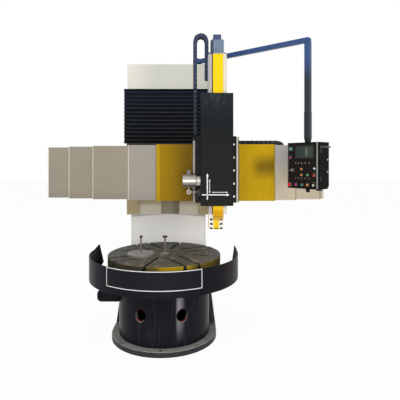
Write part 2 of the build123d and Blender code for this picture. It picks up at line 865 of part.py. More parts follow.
with BuildPart() as saddle_plate:
    with BuildSketch(front_plane(saddle_back_y)):
        rect(saddle_x0, saddle_x1, saddle_low_z, saddle_high_z)
    extrude(amount=saddle_back_y - saddle_front_y)
    for z0 in (beam_high_z + run_gap, beam_low_z - run_gap - keeper_t):
        with BuildSketch(Plane.XY.offset(z0)):
            rect(saddle_x0, saddle_x1, saddle_back_y, saddle_back_y + keeper_reach)
        extrude(amount=keeper_t)
saddle_plate.part.label = "saddle_plate"
export_step(saddle_plate.part, "parts/saddle_plate.step")

with BuildPart() as saddle_wipers:
    with BuildSketch(front_plane(saddle_back_y)):
        for x0, x1 in ((saddle_cover_left_x, saddle_x0), (saddle_x1, saddle_cover_right_x)):
            rect(x0, x1, saddle_low_z + wiper_low_inset, saddle_high_z - wiper_high_inset)
    extrude(amount=saddle_back_y - saddle_front_y)
saddle_wipers.part.label = "saddle_wipers"
export_step(saddle_wipers.part, "parts/saddle_wipers.step")

# Head

with BuildPart() as head_casting:
    with BuildSketch(Plane.XY.offset(head_low_z + head_cap_t)):
        rect(head_x0, head_x1, head_front_y, head_back_y)
        rect(head_x0 + head_cheek, head_x1 - head_cheek, head_front_y, head_back_y - head_back_t,
             mode=Mode.SUBTRACT)
    extrude(amount=head_h - 2 * head_cap_t)
head_casting.part.label = "head_casting"
export_step(head_casting.part, "parts/head_casting.step")

with BuildPart() as head_cover:
    with BuildSketch(front_plane(head_front_y)):
        rect(head_x0, head_x1, head_low_z, head_high_z)
    extrude(amount=head_cover_t)
    chamfer(head_cover.faces().sort_by(Axis.Y)[0].edges(), head_cover_bevel)
head_cover.part.label = "head_cover"
export_step(head_cover.part, "parts/head_cover.step")

with BuildPart() as head_end_caps:
    for z in (head_low_z, head_high_z - head_cap_t):
        with BuildSketch(Plane.XY.offset(z)):
            rect(head_x0, head_x1, head_front_y, head_back_y)
            rect(ram_x - ram_w / 2 - move_gap, ram_x + ram_w / 2 + move_gap,
                 ram_front_y - ram_strip_t - move_gap, ram_back_y + move_gap, mode=Mode.SUBTRACT)
        extrude(amount=head_cap_t)
head_end_caps.part.label = "head_end_caps"
export_step(head_end_caps.part, "parts/head_end_caps.step")

with BuildPart() as ram_gibs:
    with BuildSketch(Plane.XY.offset(head_low_z + head_cap_t)):
        for side in (-1, 1):
            rect(ram_x + side * (ram_w / 2 + run_gap), head_x + side * (head_half_w - head_cheek),
                 ram_front_y, ram_back_y)
        rect(ram_x - ram_w / 4, ram_x + ram_w / 4, ram_back_y + run_gap, head_back_y - head_back_t)
    extrude(amount=head_h - 2 * head_cap_t)
ram_gibs.part.label = "ram_gibs"
export_step(ram_gibs.part, "parts/ram_gibs.step")

with BuildPart() as side_drum:
    with BuildSketch(Plane.YZ.offset(drum_x0)):
        with Locations((drum_y, drum_z)):
            Circle(drum_r)
    extrude(amount=drum_len)
    chamfer(side_drum.edges().filter_by(GeomType.CIRCLE), drum_bevel)
    with BuildSketch(Plane.YZ.offset(drum_x1)):
        rect(drum_y - drum_r / 2, saddle_front_y, drum_z - drum_arm_h / 2, drum_z + drum_arm_h / 2)
    extrude(amount=drum_gap)
side_drum.part.label = "side_drum"
export_step(side_drum.part, "parts/side_drum.step")

with BuildPart() as eye_link:
    eye_flat = eye_r * 0.8
    with BuildSketch(front_plane(drum_y + eye_t / 2)):
        with Locations((eye_x, eye_z)):
            RegularPolygon(eye_r, 8)
            Circle(eye_bore_r, mode=Mode.SUBTRACT)
    extrude(amount=eye_t)
    with BuildSketch(Plane.XY.offset(eye_z + eye_flat)):
        with Locations((eye_x, drum_y)):
            Circle(eye_rod_r)
    extrude(amount=drum_z - drum_r - run_gap - eye_z - eye_flat)
    with BuildSketch(Plane.YZ.offset(eye_x + eye_flat)):
        with Locations((drum_y, eye_z)):
            Circle(eye_pin_r)
    extrude(amount=eye_plate_x - eye_x - eye_flat)
    with BuildSketch(front_plane(drum_y + eye_plate_t / 2)):
        with BuildLine():
            Polyline((eye_plate_x, eye_z + eye_rod_r), (head_x0, eye_z + eye_plate_h / 2),
                     (head_x0, eye_z - eye_plate_h / 2), (eye_plate_x, eye_z - eye_rod_r), close=True)
        make_face()
    extrude(amount=eye_plate_t)
eye_link.part.label = "eye_link"
export_step(eye_link.part, "parts/eye_link.step")

# Ram

with BuildPart() as ram_bar:
    with BuildSketch(Plane.XY.offset(ram_low_z)):
        with Locations((ram_x, ram_y)):
            Rectangle(ram_w, ram_w)
        chamfer(vertices(), ram_edge)
        rect(ram_strip_x0 - ram_groove_w, ram_strip_x0,
             ram_front_y, ram_front_y + ram_groove_d, mode=Mode.SUBTRACT)
    extrude(amount=ram_len)
ram_bar.part.label = "ram_bar"
export_step(ram_bar.part, "parts/ram_bar.step")

with BuildPart() as ram_front_strip:
    with BuildSketch(front_plane(ram_front_y)):
        rect(ram_strip_x0, ram_strip_x0 + ram_strip_w, ram_low_z - ram_strip_drop, ram_high_z)
    extrude(amount=ram_strip_t)
ram_front_strip.part.label = "ram_front_strip"
export_step(ram_front_strip.part, "parts/ram_front_strip.step")

with BuildPart() as tool_holder:
    with BuildSketch(Plane.XY.offset(tool_low_z)):
        with Locations((tool_x, ram_y)):
            Rectangle(tool_w, tool_w)
        chamfer(vertices(), tool_edge)
    extrude(amount=tool_h)
    with BuildSketch(Plane.XY.offset(tool_low_z)):
        with Locations((tool_x, ram_y)):
            Circle(tool_bore_r)
    extrude(amount=tool_bore_d, mode=Mode.SUBTRACT)
tool_holder.part.label = "tool_holder"
export_step(tool_holder.part, "parts/tool_holder.step")

with BuildPart() as ram_motor:
    with BuildSketch(Plane.XY.offset(ram_high_z)):
        with Locations((ram_x, ram_y)):
            Rectangle(ram_w, ram_w)
        chamfer(vertices(), ram_edge)
    extrude(amount=ram_flange_t)
    with BuildSketch(Plane.XY.offset(ram_high_z + ram_flange_t)):
        with Locations((ram_x, ram_y)):
            Rectangle(ram_motor_w, ram_motor_w)
            fin_pitch = ram_motor_w / ram_motor_fins
            for turn in (0, 90, 180, 270):
                with Locations(Location((0, 0, 0), (0, 0, turn))):
                    with Locations((ram_motor_w / 2, 0)):
                        with GridLocations(1, fin_pitch, 1, ram_motor_fins - 1):
                            Rectangle(fin_pitch, fin_pitch / 3, mode=Mode.SUBTRACT)
    extrude(amount=ram_motor_h - ram_motor_shoulder)
    with BuildSketch(Plane.XY.offset(ram_high_z + ram_flange_t + ram_motor_h - ram_motor_shoulder)):
        with Locations((ram_x, ram_y)):
            Rectangle(ram_motor_w, ram_motor_w)
    extrude(amount=ram_motor_shoulder, taper=45)
    with BuildSketch(Plane.XY.offset(ram_high_z + ram_flange_t + ram_motor_h)):
        with Locations((ram_x, ram_y)):
            Rectangle(ram_motor_cap_w, ram_motor_cap_w)
        chamfer(vertices(), ram_edge)
    extrude(amount=ram_motor_cap_h)
ram_motor.part.label = "ram_motor"
export_step(ram_motor.part, "parts/ram_motor.step")

with BuildPart() as chain_hanger:
    with BuildSketch(Plane.XY.offset(ram_high_z - hanger_t)):
        rect(hanger_x, ram_x, ram_back_y, z_chain_y + z_chain_w / 2)
    extrude(amount=hanger_t)
    with BuildSketch(Plane.XY.offset(z_chain_end_z)):
        rect(hanger_x, hanger_x + hanger_t, head_back_y + move_gap, z_chain_y + z_chain_w / 2)
    extrude(amount=ram_high_z - hanger_t - z_chain_end_z)
chain_hanger.part.label = "chain_hanger"
export_step(chain_hanger.part, "parts/chain_hanger.step")

# Cable chains


def links_between(plane, start, end, thickness, width):
    """Chain links along the plane's X from start to end, on a thinner core."""
    inner = thickness / 2 - chain_core_inset
    with BuildSketch(plane) as core:
        rect(start, end, -inner, inner)
    extrude(core.sketch, amount=width / 2 - chain_side_inset, both=True)
    count = max(1, round((end - start) / chain_pitch))
    step = (end - start) / count
    with BuildSketch(plane) as links:
        for k in range(count):
            rect(start + k * step + chain_link_gap / 2, start + (k + 1) * step - chain_link_gap / 2,
                 -thickness / 2, thickness / 2)
    extrude(links.sketch, amount=width / 2, both=True)


def bend_links(plane, radius, thickness, width, first, last, count):
    """Chain links round a bend about the plane's origin, from one angle to another."""
    sweep = (last - first) / count
    inner = thickness / 2 - chain_core_inset
    gap = degrees(chain_link_gap / radius)
    with BuildSketch(plane) as core:
        ring_band(radius - inner, radius + inner, first + 90, last + 90)
    extrude(core.sketch, amount=width / 2 - chain_side_inset, both=True)
    with BuildSketch(plane) as links:
        for k in range(count):
            begin = first + 90 + k * sweep
            ring_band(radius - thickness / 2, radius + thickness / 2, begin + gap / 2, begin + sweep - gap / 2)
    extrude(links.sketch, amount=width / 2, both=True)


with BuildPart() as z_chain_loop:
    left_run = Plane(origin=(z_chain_left_x, z_chain_y, 0), x_dir=(0, 0, 1), z_dir=(0, 1, 0))
    links_between(left_run, z_chain_low_z, z_chain_centre_z, chain_t, z_chain_w)
    bend = Plane(origin=(z_chain_mid_x, z_chain_y, z_chain_centre_z), x_dir=(1, 0, 0), z_dir=(0, -1, 0))
    bend_links(bend, z_chain_r, chain_t, z_chain_w, 0, 180, 5)
z_chain_loop.part.label = "z_chain_loop"
export_step(z_chain_loop.part, "parts/z_chain_loop.step")

with BuildPart() as z_chain_drop:
    right_run = Plane(origin=(z_chain_right_x, z_chain_y, 0), x_dir=(0, 0, 1), z_dir=(0, 1, 0))
    links_between(right_run, z_chain_end_z, z_chain_centre_z - run_gap, chain_t, z_chain_w)
z_chain_drop.part.label = "z_chain_drop"
export_step(z_chain_drop.part, "parts/z_chain_drop.step")

with BuildPart() as x_chain_loop:
    low_run = Plane(origin=(0, x_chain_y, x_chain_low_z), x_dir=(1, 0, 0), z_dir=(0, -1, 0))
    links_between(low_run, x_chain_low_x, x_chain_bend_x, x_chain_t, chain_w)
    bend = Plane(origin=(x_chain_bend_x, x_chain_y, (x_chain_low_z + x_chain_high_z) / 2),
                 x_dir=(1, 0, 0), z_dir=(0, -1, 0))
    bend_links(bend, x_chain_r, x_chain_t, chain_w, -90, 90, 5)
x_chain_loop.part.label = "x_chain_loop"
export_step(x_chain_loop.part, "parts/x_chain_loop.step")

with BuildPart() as x_chain_upper:
    high_run = Plane(origin=(0, x_chain_y, x_chain_high_z), x_dir=(1, 0, 0), z_dir=(0, -1, 0))
    links_between(high_run, x_chain_arm_x, x_chain_bend_x - run_gap, x_chain_t, chain_w)
x_chain_upper.part.label = "x_chain_upper"
export_step(x_chain_upper.part, "parts/x_chain_upper.step")

with BuildPart() as chain_brackets:
    with BuildSketch(Plane.XY.offset(saddle_high_z)):
        rect(z_chain_left_x - chain_t / 2, z_chain_left_x - chain_t / 2 + z_chain_seat_w,
             z_chain_y - z_chain_w / 2, z_chain_y + z_chain_w / 2)
    extrude(amount=z_chain_lift)
    with BuildSketch(Plane.XY.offset(x_chain_top_z)):
        rect(saddle_x1 - x_chain_arm_w, saddle_x1, saddle_back_y, x_chain_y + chain_w / 2)
    extrude(amount=x_chain_arm_t)
chain_brackets.part.label = "chain_brackets"
export_step(chain_brackets.part, "parts/chain_brackets.step")

# Pendant arm

with BuildPart() as arm_pivot_post:
    with BuildSketch(Plane.XY.offset(crown_top_z)):
        with Locations((arm_pivot_x, arm_pivot_y)):
            Circle(pivot_flange_r)
    extrude(amount=pivot_flange_t)
    with BuildSketch(Plane.XY.offset(crown_top_z + pivot_flange_t)):
        with Locations((arm_pivot_x, arm_pivot_y)):
            Circle(pivot_pin_r)
    extrude(amount=arm_h + 2 * run_gap)
    with BuildSketch(Plane.XY.offset(arm_high_z + run_gap)):
        with Locations((arm_pivot_x, arm_pivot_y)):
            RegularPolygon(pivot_nut_r, 6)
    extrude(amount=pivot_nut_t)
arm_pivot_post.part.label = "arm_pivot_post"
export_step(arm_pivot_post.part, "parts/arm_pivot_post.step")

with BuildPart() as arm_beam:
    pivot_point = (arm_pivot_x, arm_pivot_y, arm_low_z)
    with BuildSketch(Plane(origin=pivot_point, x_dir=arm_along, z_dir=(arm_along[1], -arm_along[0], 0))):
        rect(0, arm_len + arm_w / 2, 0, arm_h)
        fillet(vertices().group_by(Axis.X)[-1].sort_by(Axis.Y)[-1], arm_corner_r)
    extrude(amount=arm_w / 2, both=True)
    with BuildSketch(Plane.XY.offset(arm_low_z)):
        with Locations((arm_pivot_x, arm_pivot_y)):
            Circle(arm_hub_r)
    extrude(amount=arm_h)
    with BuildSketch(Plane.XY.offset(arm_low_z)):
        with Locations((arm_pivot_x, arm_pivot_y)):
            Circle(pivot_pin_r + run_gap)
    extrude(amount=arm_h, mode=Mode.SUBTRACT)
arm_beam.part.label = "arm_beam"
export_step(arm_beam.part, "parts/arm_beam.step")

with BuildPart() as arm_post:
    post_foot = Plane(origin=(arm_end_x, arm_end_y, post_low_z), x_dir=arm_along, z_dir=(0, 0, 1))
    for width, height in ((post_w, arm_low_z - post_low_z), (sleeve_w, sleeve_h)):
        with BuildSketch(post_foot):
            Rectangle(width, width)
            chamfer(vertices(), post_edge)
        extrude(amount=height)
arm_post.part.label = "arm_post"
export_step(arm_post.part, "parts/arm_post.step")

# Control pendant, drawn in its own plane: X along the panel, Y to its back

yaw = radians(pendant_yaw)
panel_along = (cos(yaw), -sin(yaw), 0)
panel_out = (-sin(yaw), -cos(yaw), 0)
pendant_floor = Plane(origin=(arm_end_x, arm_end_y, pendant_low_z), x_dir=panel_along, z_dir=(0, 0, 1))


def pendant_face(depth):
    """A plane facing out of the panel, depth in front of the pendant's axis; Y is height."""
    origin = (arm_end_x + depth * panel_out[0], arm_end_y + depth * panel_out[1], 0)
    return Plane(origin=origin, x_dir=panel_along, z_dir=panel_out)


with BuildPart() as pendant_neck:
    with BuildSketch(pendant_floor.offset(pendant_h + neck_h - run_gap)):
        Rectangle(neck_top_w, neck_top_w)
    extrude(amount=-neck_h + run_gap, taper=neck_taper)
pendant_neck.part.label = "pendant_neck"
export_step(pendant_neck.part, "parts/pendant_neck.step")

side_x = arm_end_x + pendant_w / 2 * panel_along[0]
side_y = arm_end_y + pendant_w / 2 * panel_along[1]

with BuildPart() as pendant_housing:
    with BuildSketch(pendant_floor):
        Rectangle(pendant_w, pendant_d)
        fillet(vertices(), pendant_edge_r)
    extrude(amount=pendant_h)
    with BuildSketch(Plane(origin=(side_x, side_y, 0), x_dir=panel_out, z_dir=panel_along)):
        rise = 1 if Plane(origin=(0, 0, 0), x_dir=panel_out, z_dir=panel_along).y_dir.Z > 0 else -1
        with BuildLine():
            Polyline((-pendant_d / 2, rise * pendant_low_z),
                     (-pendant_d / 2 + pendant_bevel, rise * pendant_low_z),
                     (-pendant_d / 2, rise * (pendant_low_z + pendant_bevel)), close=True)
        make_face()
    extrude(amount=-pendant_w, mode=Mode.SUBTRACT)
    with BuildSketch(Plane(origin=(side_x, side_y, 0), x_dir=panel_out, z_dir=panel_along)):
        rect(-pendant_d / 2 + door_inset, pendant_d / 2 - door_inset,
             rise * (pendant_low_z + door_inset + pendant_bevel), rise * (pendant_high_z - door_inset))
        fillet(vertices(), pendant_edge_r)
    extrude(amount=door_t)
    with BuildSketch(pendant_floor):
        Circle(gland_r)
    extrude(amount=-gland_h, taper=gland_taper)
pendant_housing.part.label = "pendant_housing"
export_step(pendant_housing.part, "parts/pendant_housing.step")

with BuildPart() as pendant_panel:
    with BuildSketch(pendant_face(pendant_d / 2)):
        rect(-pendant_w / 2 + panel_margin, pendant_w / 2 - panel_margin,
             pendant_low_z + panel_margin, pendant_high_z - panel_margin)
        rect(screen_u - screen_w / 2, screen_u + screen_w / 2,
             screen_z - screen_h / 2, screen_z + screen_h / 2, mode=Mode.SUBTRACT)
    extrude(amount=panel_t)
pendant_panel.part.label = "pendant_panel"
export_step(pendant_panel.part, "parts/pendant_panel.step")

with BuildPart() as pendant_screen:
    with BuildSketch(pendant_face(pendant_d / 2)):
        rect(screen_u - screen_w / 2 + run_gap, screen_u + screen_w / 2 - run_gap,
             screen_z - screen_h / 2 + run_gap, screen_z + screen_h / 2 - run_gap)
    extrude(amount=screen_t)
pendant_screen.part.label = "pendant_screen"
export_step(pendant_screen.part, "parts/pendant_screen.step")

with BuildPart() as pendant_controls:
    for u, lift, radius, reach in panel_controls:
        with BuildSketch(pendant_face(pendant_d / 2 + panel_t)):
            with Locations((u, pendant_low_z + lift)):
                Circle(radius)
        extrude(amount=reach)
pendant_controls.part.label = "pendant_controls"
export_step(pendant_controls.part, "parts/pendant_controls.step")

with BuildPart() as pendant_handle:
    handle_seat = (side_x + door_t * panel_along[0], side_y + door_t * panel_along[1],
                   pendant_low_z + handle_lift)
    with BuildLine(Plane(origin=handle_seat, x_dir=panel_out, z_dir=(0, 0, 1))) as grip:
        FilletPolyline((-handle_span / 2, 0), (-handle_span / 2, handle_reach),
                       (handle_span / 2, handle_reach), (handle_span / 2, 0), radius=handle_bend_r)
    with BuildSketch(Plane(origin=grip.line @ 0, z_dir=grip.line % 0)):
        Circle(handle_r)
    sweep()
pendant_handle.part.label = "pendant_handle"
export_step(pendant_handle.part, "parts/pendant_handle.step")
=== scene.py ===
"""Finishes the single column vertical lathe: paints, steel, bellows, cable chains, screws, sign and stage."""

import json
from functools import cached_property
from math import cos, pi, radians, sin

import bmesh
import bpy
from bpy.props import FloatProperty, FloatVectorProperty, IntProperty, PointerProperty
from mathutils import Matrix, Vector


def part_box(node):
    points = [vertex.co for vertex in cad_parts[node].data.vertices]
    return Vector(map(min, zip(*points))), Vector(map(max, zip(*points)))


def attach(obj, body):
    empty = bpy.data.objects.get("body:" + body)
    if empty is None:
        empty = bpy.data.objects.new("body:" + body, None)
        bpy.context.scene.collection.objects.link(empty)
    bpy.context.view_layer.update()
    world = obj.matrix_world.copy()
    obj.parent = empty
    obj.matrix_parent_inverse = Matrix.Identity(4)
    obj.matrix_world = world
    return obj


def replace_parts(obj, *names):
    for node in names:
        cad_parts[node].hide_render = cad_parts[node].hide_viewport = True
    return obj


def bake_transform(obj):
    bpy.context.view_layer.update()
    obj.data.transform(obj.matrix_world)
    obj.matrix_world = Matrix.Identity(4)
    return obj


bl_info = {
    "name": "Vertical Lathe Finish",
    "version": (1, 0, 0),
    "blender": (4, 5, 0),
    "location": "3D View > Sidebar > Lathe",
    "description": "Paints a column lathe and adds its bellows, cable chains, screws, sign and stage",
    "category": "Object",
}

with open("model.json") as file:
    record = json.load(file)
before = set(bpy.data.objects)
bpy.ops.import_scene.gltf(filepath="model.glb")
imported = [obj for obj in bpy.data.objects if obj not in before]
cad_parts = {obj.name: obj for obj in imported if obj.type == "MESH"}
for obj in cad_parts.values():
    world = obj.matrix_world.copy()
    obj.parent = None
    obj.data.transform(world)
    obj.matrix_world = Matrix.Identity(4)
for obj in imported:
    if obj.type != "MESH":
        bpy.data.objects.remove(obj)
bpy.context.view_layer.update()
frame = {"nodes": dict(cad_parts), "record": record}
slot_of = {row["node"]: row["material_slot"] for row in frame["record"]["subparts"]}

# Camera, set to the photograph
CAMERA_PLACE = (0.274, -3.683, 1.557)
CAMERA_LENS = 36.9
CAMERA_SHIFT = (0.0125, -0.1)

# Sets the names of these materials apart from those that came with the CAD
PREFIX = "lathe_"

# Sides of a turned form
ROUND_SIDES = 28

# X where the covers to the right of the head begin
RIGHT_COVERS = 0.66

# Width of the softened edge on each solid, in metres
SOFT_EDGES = {
    "base_casting": 0.004, "foot_plate": 0.003, "column": 0.006, "column_crown": 0.006, "head_casting": 0.003,
    "head_cover": 0.002, "saddle_plate": 0.003, "crossrail_beam": 0.004, "crossrail_shoe": 0.003,
    "belt_housing": 0.004, "ram_bar": 0.002, "tool_holder": 0.002, "arm_beam": 0.004, "arm_post": 0.003,
    "pendant_housing": 0.003, "saddle_wipers": 0.0015, "crossrail_end_plates": 0.002, "worktable": 0.0015,
    "head_end_caps": 0.001, "ram_motor": 0.001, "chain_hanger": 0.001, "chain_brackets": 0.001,
    "arm_pivot_post": 0.002, "bellows_top_plate": 0.001, "bellows_low_plate": 0.001, "side_drum": 0.001,
    "rear_cover": 0.002, "pendant_neck": 0.002, "pendant_panel": 0.001,
}


def tone(red, green, blue):
    """A screen colour, 0 to 255 a channel, as the linear values that a shader works in."""
    linear = []
    for part in (red / 255, green / 255, blue / 255):
        linear.append(part / 12.92 if part <= 0.04045 else ((part + 0.055) / 1.055) ** 2.4)
    return tuple(linear)


def colour_value(name, description, red, green, blue):
    """A colour that the sidebar shows."""
    return FloatVectorProperty(name=name, description=description, subtype="COLOR", min=0, max=1,
                               default=tone(red, green, blue))


def length_value(name, description, default):
    """A length in metres that the sidebar shows."""
    return FloatProperty(name=name, description=description, default=default, min=0, unit="LENGTH",
                         precision=4)


class LatheColours(bpy.types.PropertyGroup):
    """Colours of the paints and metals."""

    beige: colour_value("Beige", "Paint of the column, the crown and the crossrail", 198, 197, 186)
    white: colour_value("Warm white", "Paint of the lower way covers", 240, 238, 233)
    base: colour_value("Base enamel", "Blue-black enamel of the base and the guard", 21, 22, 27)
    black: colour_value("Black", "Paint of the head and the saddle", 20, 24, 26)
    navy: colour_value("Navy", "Paint of the ram's motor and the chain hanger", 62, 76, 104)
    arm: colour_value("Arm", "Blue paint of the pendant's arm", 46, 72, 118)
    cover: colour_value("Cover steel", "Brushed sheet of the outer crossrail covers", 138, 131, 116)
    gold: colour_value("Gold", "Yellow sheet of the covers beside the saddle", 146, 114, 14)
    yellow: colour_value("Yellow", "Paint of the ram's strip and the tool holder", 236, 196, 26)
    cream: colour_value("Cream", "Side of the ram", 208, 202, 184)
    table: colour_value("Table steel", "Worn steel of the table's top", 74, 71, 62)
    rim: colour_value("Table rim", "Yellow rim of the table", 138, 112, 32)
    rust: colour_value("Primer red", "Primer inside the lifting holes", 104, 30, 26)
    cloth: colour_value("Bellows cloth", "Coated cloth of the bellows", 19, 21, 24)
    chain: colour_value("Chain", "Plastic of the cable chains", 46, 56, 80)


class LatheSizes(bpy.types.PropertyGroup):
    """Sizes of the added details."""

    seam_width: length_value("Seam width", "Width of the folded edge at a cover's end", 0.007)
    border_width: length_value("Sign border", "Width of the line round the sign plate", 0.006)
    arrow_width: length_value("Arrow width", "Width of the lines of the axis arrows", 0.0095)
    arrow_head: length_value("Arrow head", "Width of the heads of the axis arrows", 0.024)
    screw_radius: length_value("Screw radius", "Radius of a large cap screw's head", 0.010)
    pleats: IntProperty(name="Pleats", description="Folds of the bellows", default=13, min=3, max=40)


# Shaders


class Wire:
    """A shader socket that expressions work on: each operator adds a Math or Vector Math node."""

    def __init__(self, shader, socket):
        self.shader = shader
        self.socket = socket

    def calculate(self, operation, first, second):
        vector = any(isinstance(v, Wire) and v.socket.type == "VECTOR" for v in (first, second))
        kind = "ShaderNodeVectorMath" if vector else "ShaderNodeMath"
        return self.shader.node(kind, {"operation": operation}, {0: first, 1: second})

    def __add__(self, other):
        return self.calculate("ADD", self, other)

    def __radd__(self, other):
        return self.calculate("ADD", other, self)

    def __sub__(self, other):
        return self.calculate("SUBTRACT", self, other)

    def __rsub__(self, other):
        return self.calculate("SUBTRACT", other, self)

    def __mul__(self, other):
        return self.calculate("MULTIPLY", self, other)

    def __rmul__(self, other):
        return self.calculate("MULTIPLY", other, self)

    def __truediv__(self, other):
        return self.calculate("DIVIDE", self, other)

    def __pow__(self, other):
        return self.calculate("POWER", self, other)

    def size(self):
        """The positive size of a number."""
        return self.shader.node("ShaderNodeMath", {"operation": "ABSOLUTE"}, {0: self})

    def part(self):
        """What is left of a number above its whole part."""
        return self.shader.node("ShaderNodeMath", {"operation": "FRACT"}, {0: self})


def full_colour(value):
    """A colour of three numbers gets its fourth; anything else stays."""
    return (*value, 1) if isinstance(value, (tuple, list)) and len(value) == 3 else value


class Shader:
    """The nodes of a new material, or of a world; patterns lie in the object's own coordinates."""

    def __init__(self, name, world=None):
        self.owner = world or bpy.data.materials.new(PREFIX + name)
        self.owner.use_nodes = True
        self.tree = self.owner.node_tree
        self.tree.nodes.clear()

    @cached_property
    def place(self):
        """The place on the surface."""
        return self.node("ShaderNodeTexCoord", output="Object")

    @cached_property
    def axes(self):
        """The place's three numbers."""
        return self.split(self.place)

    @property
    def x(self):
        return self.axes[0]

    @property
    def y(self):
        return self.axes[1]

    @property
    def z(self):
        return self.axes[2]

    def split(self, vector):
        """The three numbers of a vector."""
        parts = self.node("ShaderNodeSeparateXYZ", inputs={0: vector}).socket.node.outputs
        return [Wire(self, parts[k]) for k in range(3)]

    def node(self, kind, settings=None, inputs=None, output=0):
        """Adds a node: its settings first, then the values or links of its sockets."""
        made = self.tree.nodes.new(kind)
        for key, value in (settings or {}).items():
            setattr(made, key, value)
        for key, value in (inputs or {}).items():
            if isinstance(value, Wire):
                self.tree.links.new(value.socket, made.inputs[key])
            else:
                made.inputs[key].default_value = value
        return Wire(self, made.outputs[output]) if len(made.outputs) else None

    def rise(self, value, start, end):
        """0 before start and 1 past end, smooth between."""
        return self.node("ShaderNodeMapRange", {"interpolation_type": "SMOOTHSTEP"},
                         {0: value, 1: start, 2: end, 3: 0.0, 4: 1.0})

    def band(self, value, low, high, soft):
        """1 between low and high, with soft ends."""
        return self.rise(value, low - soft, low + soft) * (1 - self.rise(value, high - soft, high + soft))

    def noise(self, scale, detail, stretch=(1, 1, 1), rough=0.55):
        """Cloudy noise from 0 to 1, about scale features a metre."""
        return self.node("ShaderNodeTexNoise", inputs={"Vector": self.place * stretch, "Scale": scale,
                                                       "Detail": detail, "Roughness": rough})

    def facing(self):
        """How far the surface looks to the right, to the back and up, from -1 to 1."""
        return self.split(self.node("ShaderNodeNewGeometry", output="Normal"))

    def seen(self):
        """1 for rays from the camera, off a mirror or through glass, and 0 for scattered light."""
        rays = self.node("ShaderNodeLightPath").socket.node.outputs
        camera, glossy, through = (
            Wire(self, rays[name]) for name in ("Is Camera Ray", "Is Glossy Ray", "Is Transmission Ray"))
        return self.node("ShaderNodeMath", {"operation": "MINIMUM"}, {0: camera + glossy + through, 1: 1.0})

    def mix(self, share, first, second):
        """A colour between two others."""
        return self.node("ShaderNodeMix", {"data_type": "RGBA"},
                         {0: share, 6: full_colour(first), 7: full_colour(second)}, 2)

    def dim(self, colour, share):
        """A colour multiplied by a number that may pass 1."""
        grey = self.node("ShaderNodeCombineXYZ", inputs={0: share, 1: share, 2: share})
        return self.node("ShaderNodeMix", {"data_type": "RGBA", "blend_type": "MULTIPLY"},
                         {0: 1.0, 6: full_colour(colour), 7: grey}, 2)

    def bump(self, height, depth, strength):
        """A normal from a height of 0 to 1 that stands for depth metres."""
        inputs = {"Strength": strength, "Distance": depth, "Height": height}
        return self.node("ShaderNodeBump", inputs=inputs, output="Normal")

    def surface(self, colour, roughness, metallic=0.0, normal=None, *, specular):
        """Ends the material in one Principled shader."""
        inputs = {"Base Color": full_colour(colour), "Roughness": roughness, "Metallic": metallic,
                  "Specular IOR Level": specular}
        if normal is not None:
            inputs["Normal"] = normal
        shade = self.node("ShaderNodeBsdfPrincipled", inputs=inputs)
        self.node("ShaderNodeOutputMaterial", inputs={0: shade})
        return self.owner


def values():
    """The sidebar's colours as plain tuples, by name."""
    group = bpy.context.scene.lathe_colours
    return {name: tuple(getattr(group, name)) for name in LatheColours.__annotations__}


def paint(name, colour, roughness, grime, grain=0.25, specular=0.25):
    """Sprayed machine paint: cloudy tone, fine orange peel and a little dust."""
    s = Shader(name)
    cloud = s.noise(2.2, 4)
    fine = s.noise(34, 3)
    tint = s.dim(colour, 1 - grime * 0.5 + grime * (cloud * 0.7 + fine * 0.3))
    return s.surface(tint, roughness - 0.06 + 0.14 * fine, normal=s.bump(s.noise(420, 2), 0.0004, grain),
                     specular=specular)


def head_paint(colour):
    """The head: black, bluer above and faintly wiped near its top."""
    s = Shader("head_paint")
    cloud = s.noise(2.2, 4)
    wipe = s.rise(s.noise(9, 5, (1.6, 1, 0.7), 0.7), 0.46, 0.74)
    above = s.rise(s.z, 1.55, 1.95)
    tint = s.mix(above, tone(25, 25, 24), colour)
    tint = s.mix(s.rise(s.z, 1.85, 2.13) * (0.12 + 0.5 * wipe), tint, tone(66, 76, 82))
    return s.surface(s.dim(tint, 0.85 + 0.3 * cloud), 0.42 + 0.12 * s.noise(34, 3),
                     normal=s.bump(s.noise(420, 2), 0.0004, 0.25), specular=0.08)


def wiper_sheet():
    """Wiper strips: grey-beige at the saddle's left, cream at its right, dark at the left one's top."""
    low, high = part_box("saddle_wipers")
    s = Shader("wiper_sheet")
    line = s.noise(22, 4, (16, 16, 0.6), 0.7)
    middle = low.x + 0.2
    tint = s.mix(s.rise(s.x, middle, middle + 0.01), tone(172, 165, 152), tone(220, 214, 198))
    left_top = s.rise(s.x, middle, middle - 0.01) * s.rise(s.z, high.z - 0.038, high.z - 0.032)
    tint = s.mix(left_top, tint, tone(28, 28, 28))
    tint = s.dim(tint, 0.84 + 0.28 * line)
    return s.surface(tint, 0.40 + 0.16 * line, 0.1, s.bump(line, 0.0002, 0.25), specular=0.15)


def stand_steel(name, knob):
    """A rod on the table: silver foot, dull rod and a dark knob."""
    low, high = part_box(name)
    s = Shader(name + "_steel")
    line = s.noise(60, 3)
    tint = s.mix(s.rise(s.z, low.z + 0.024, low.z + 0.030), tone(142, 138, 134), tone(120, 110, 104))
    tint = s.mix(s.rise(s.z, high.z - knob - 0.002, high.z - knob), tint, tone(56, 48, 46))
    tint = s.dim(tint, 0.45 + 1.0 * line)
    return s.surface(tint, 0.30 + 0.2 * line, 0.5, s.bump(line, 0.0001, 0.2), specular=0.3)


def link_steel():
    """The eye link: dull steel, with its plate on the head painted dark."""
    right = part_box("eye_link")[1].x
    s = Shader("link_steel")
    line = s.noise(60, 3)
    tint = s.mix(s.rise(s.x, right - 0.037, right - 0.034), tone(168, 164, 156), tone(66, 62, 56))
    tint = s.dim(tint, 0.75 + 0.4 * line)
    return s.surface(tint, 0.36 + 0.14 * line, 0.4, s.bump(line, 0.0001, 0.2), specular=0.2)


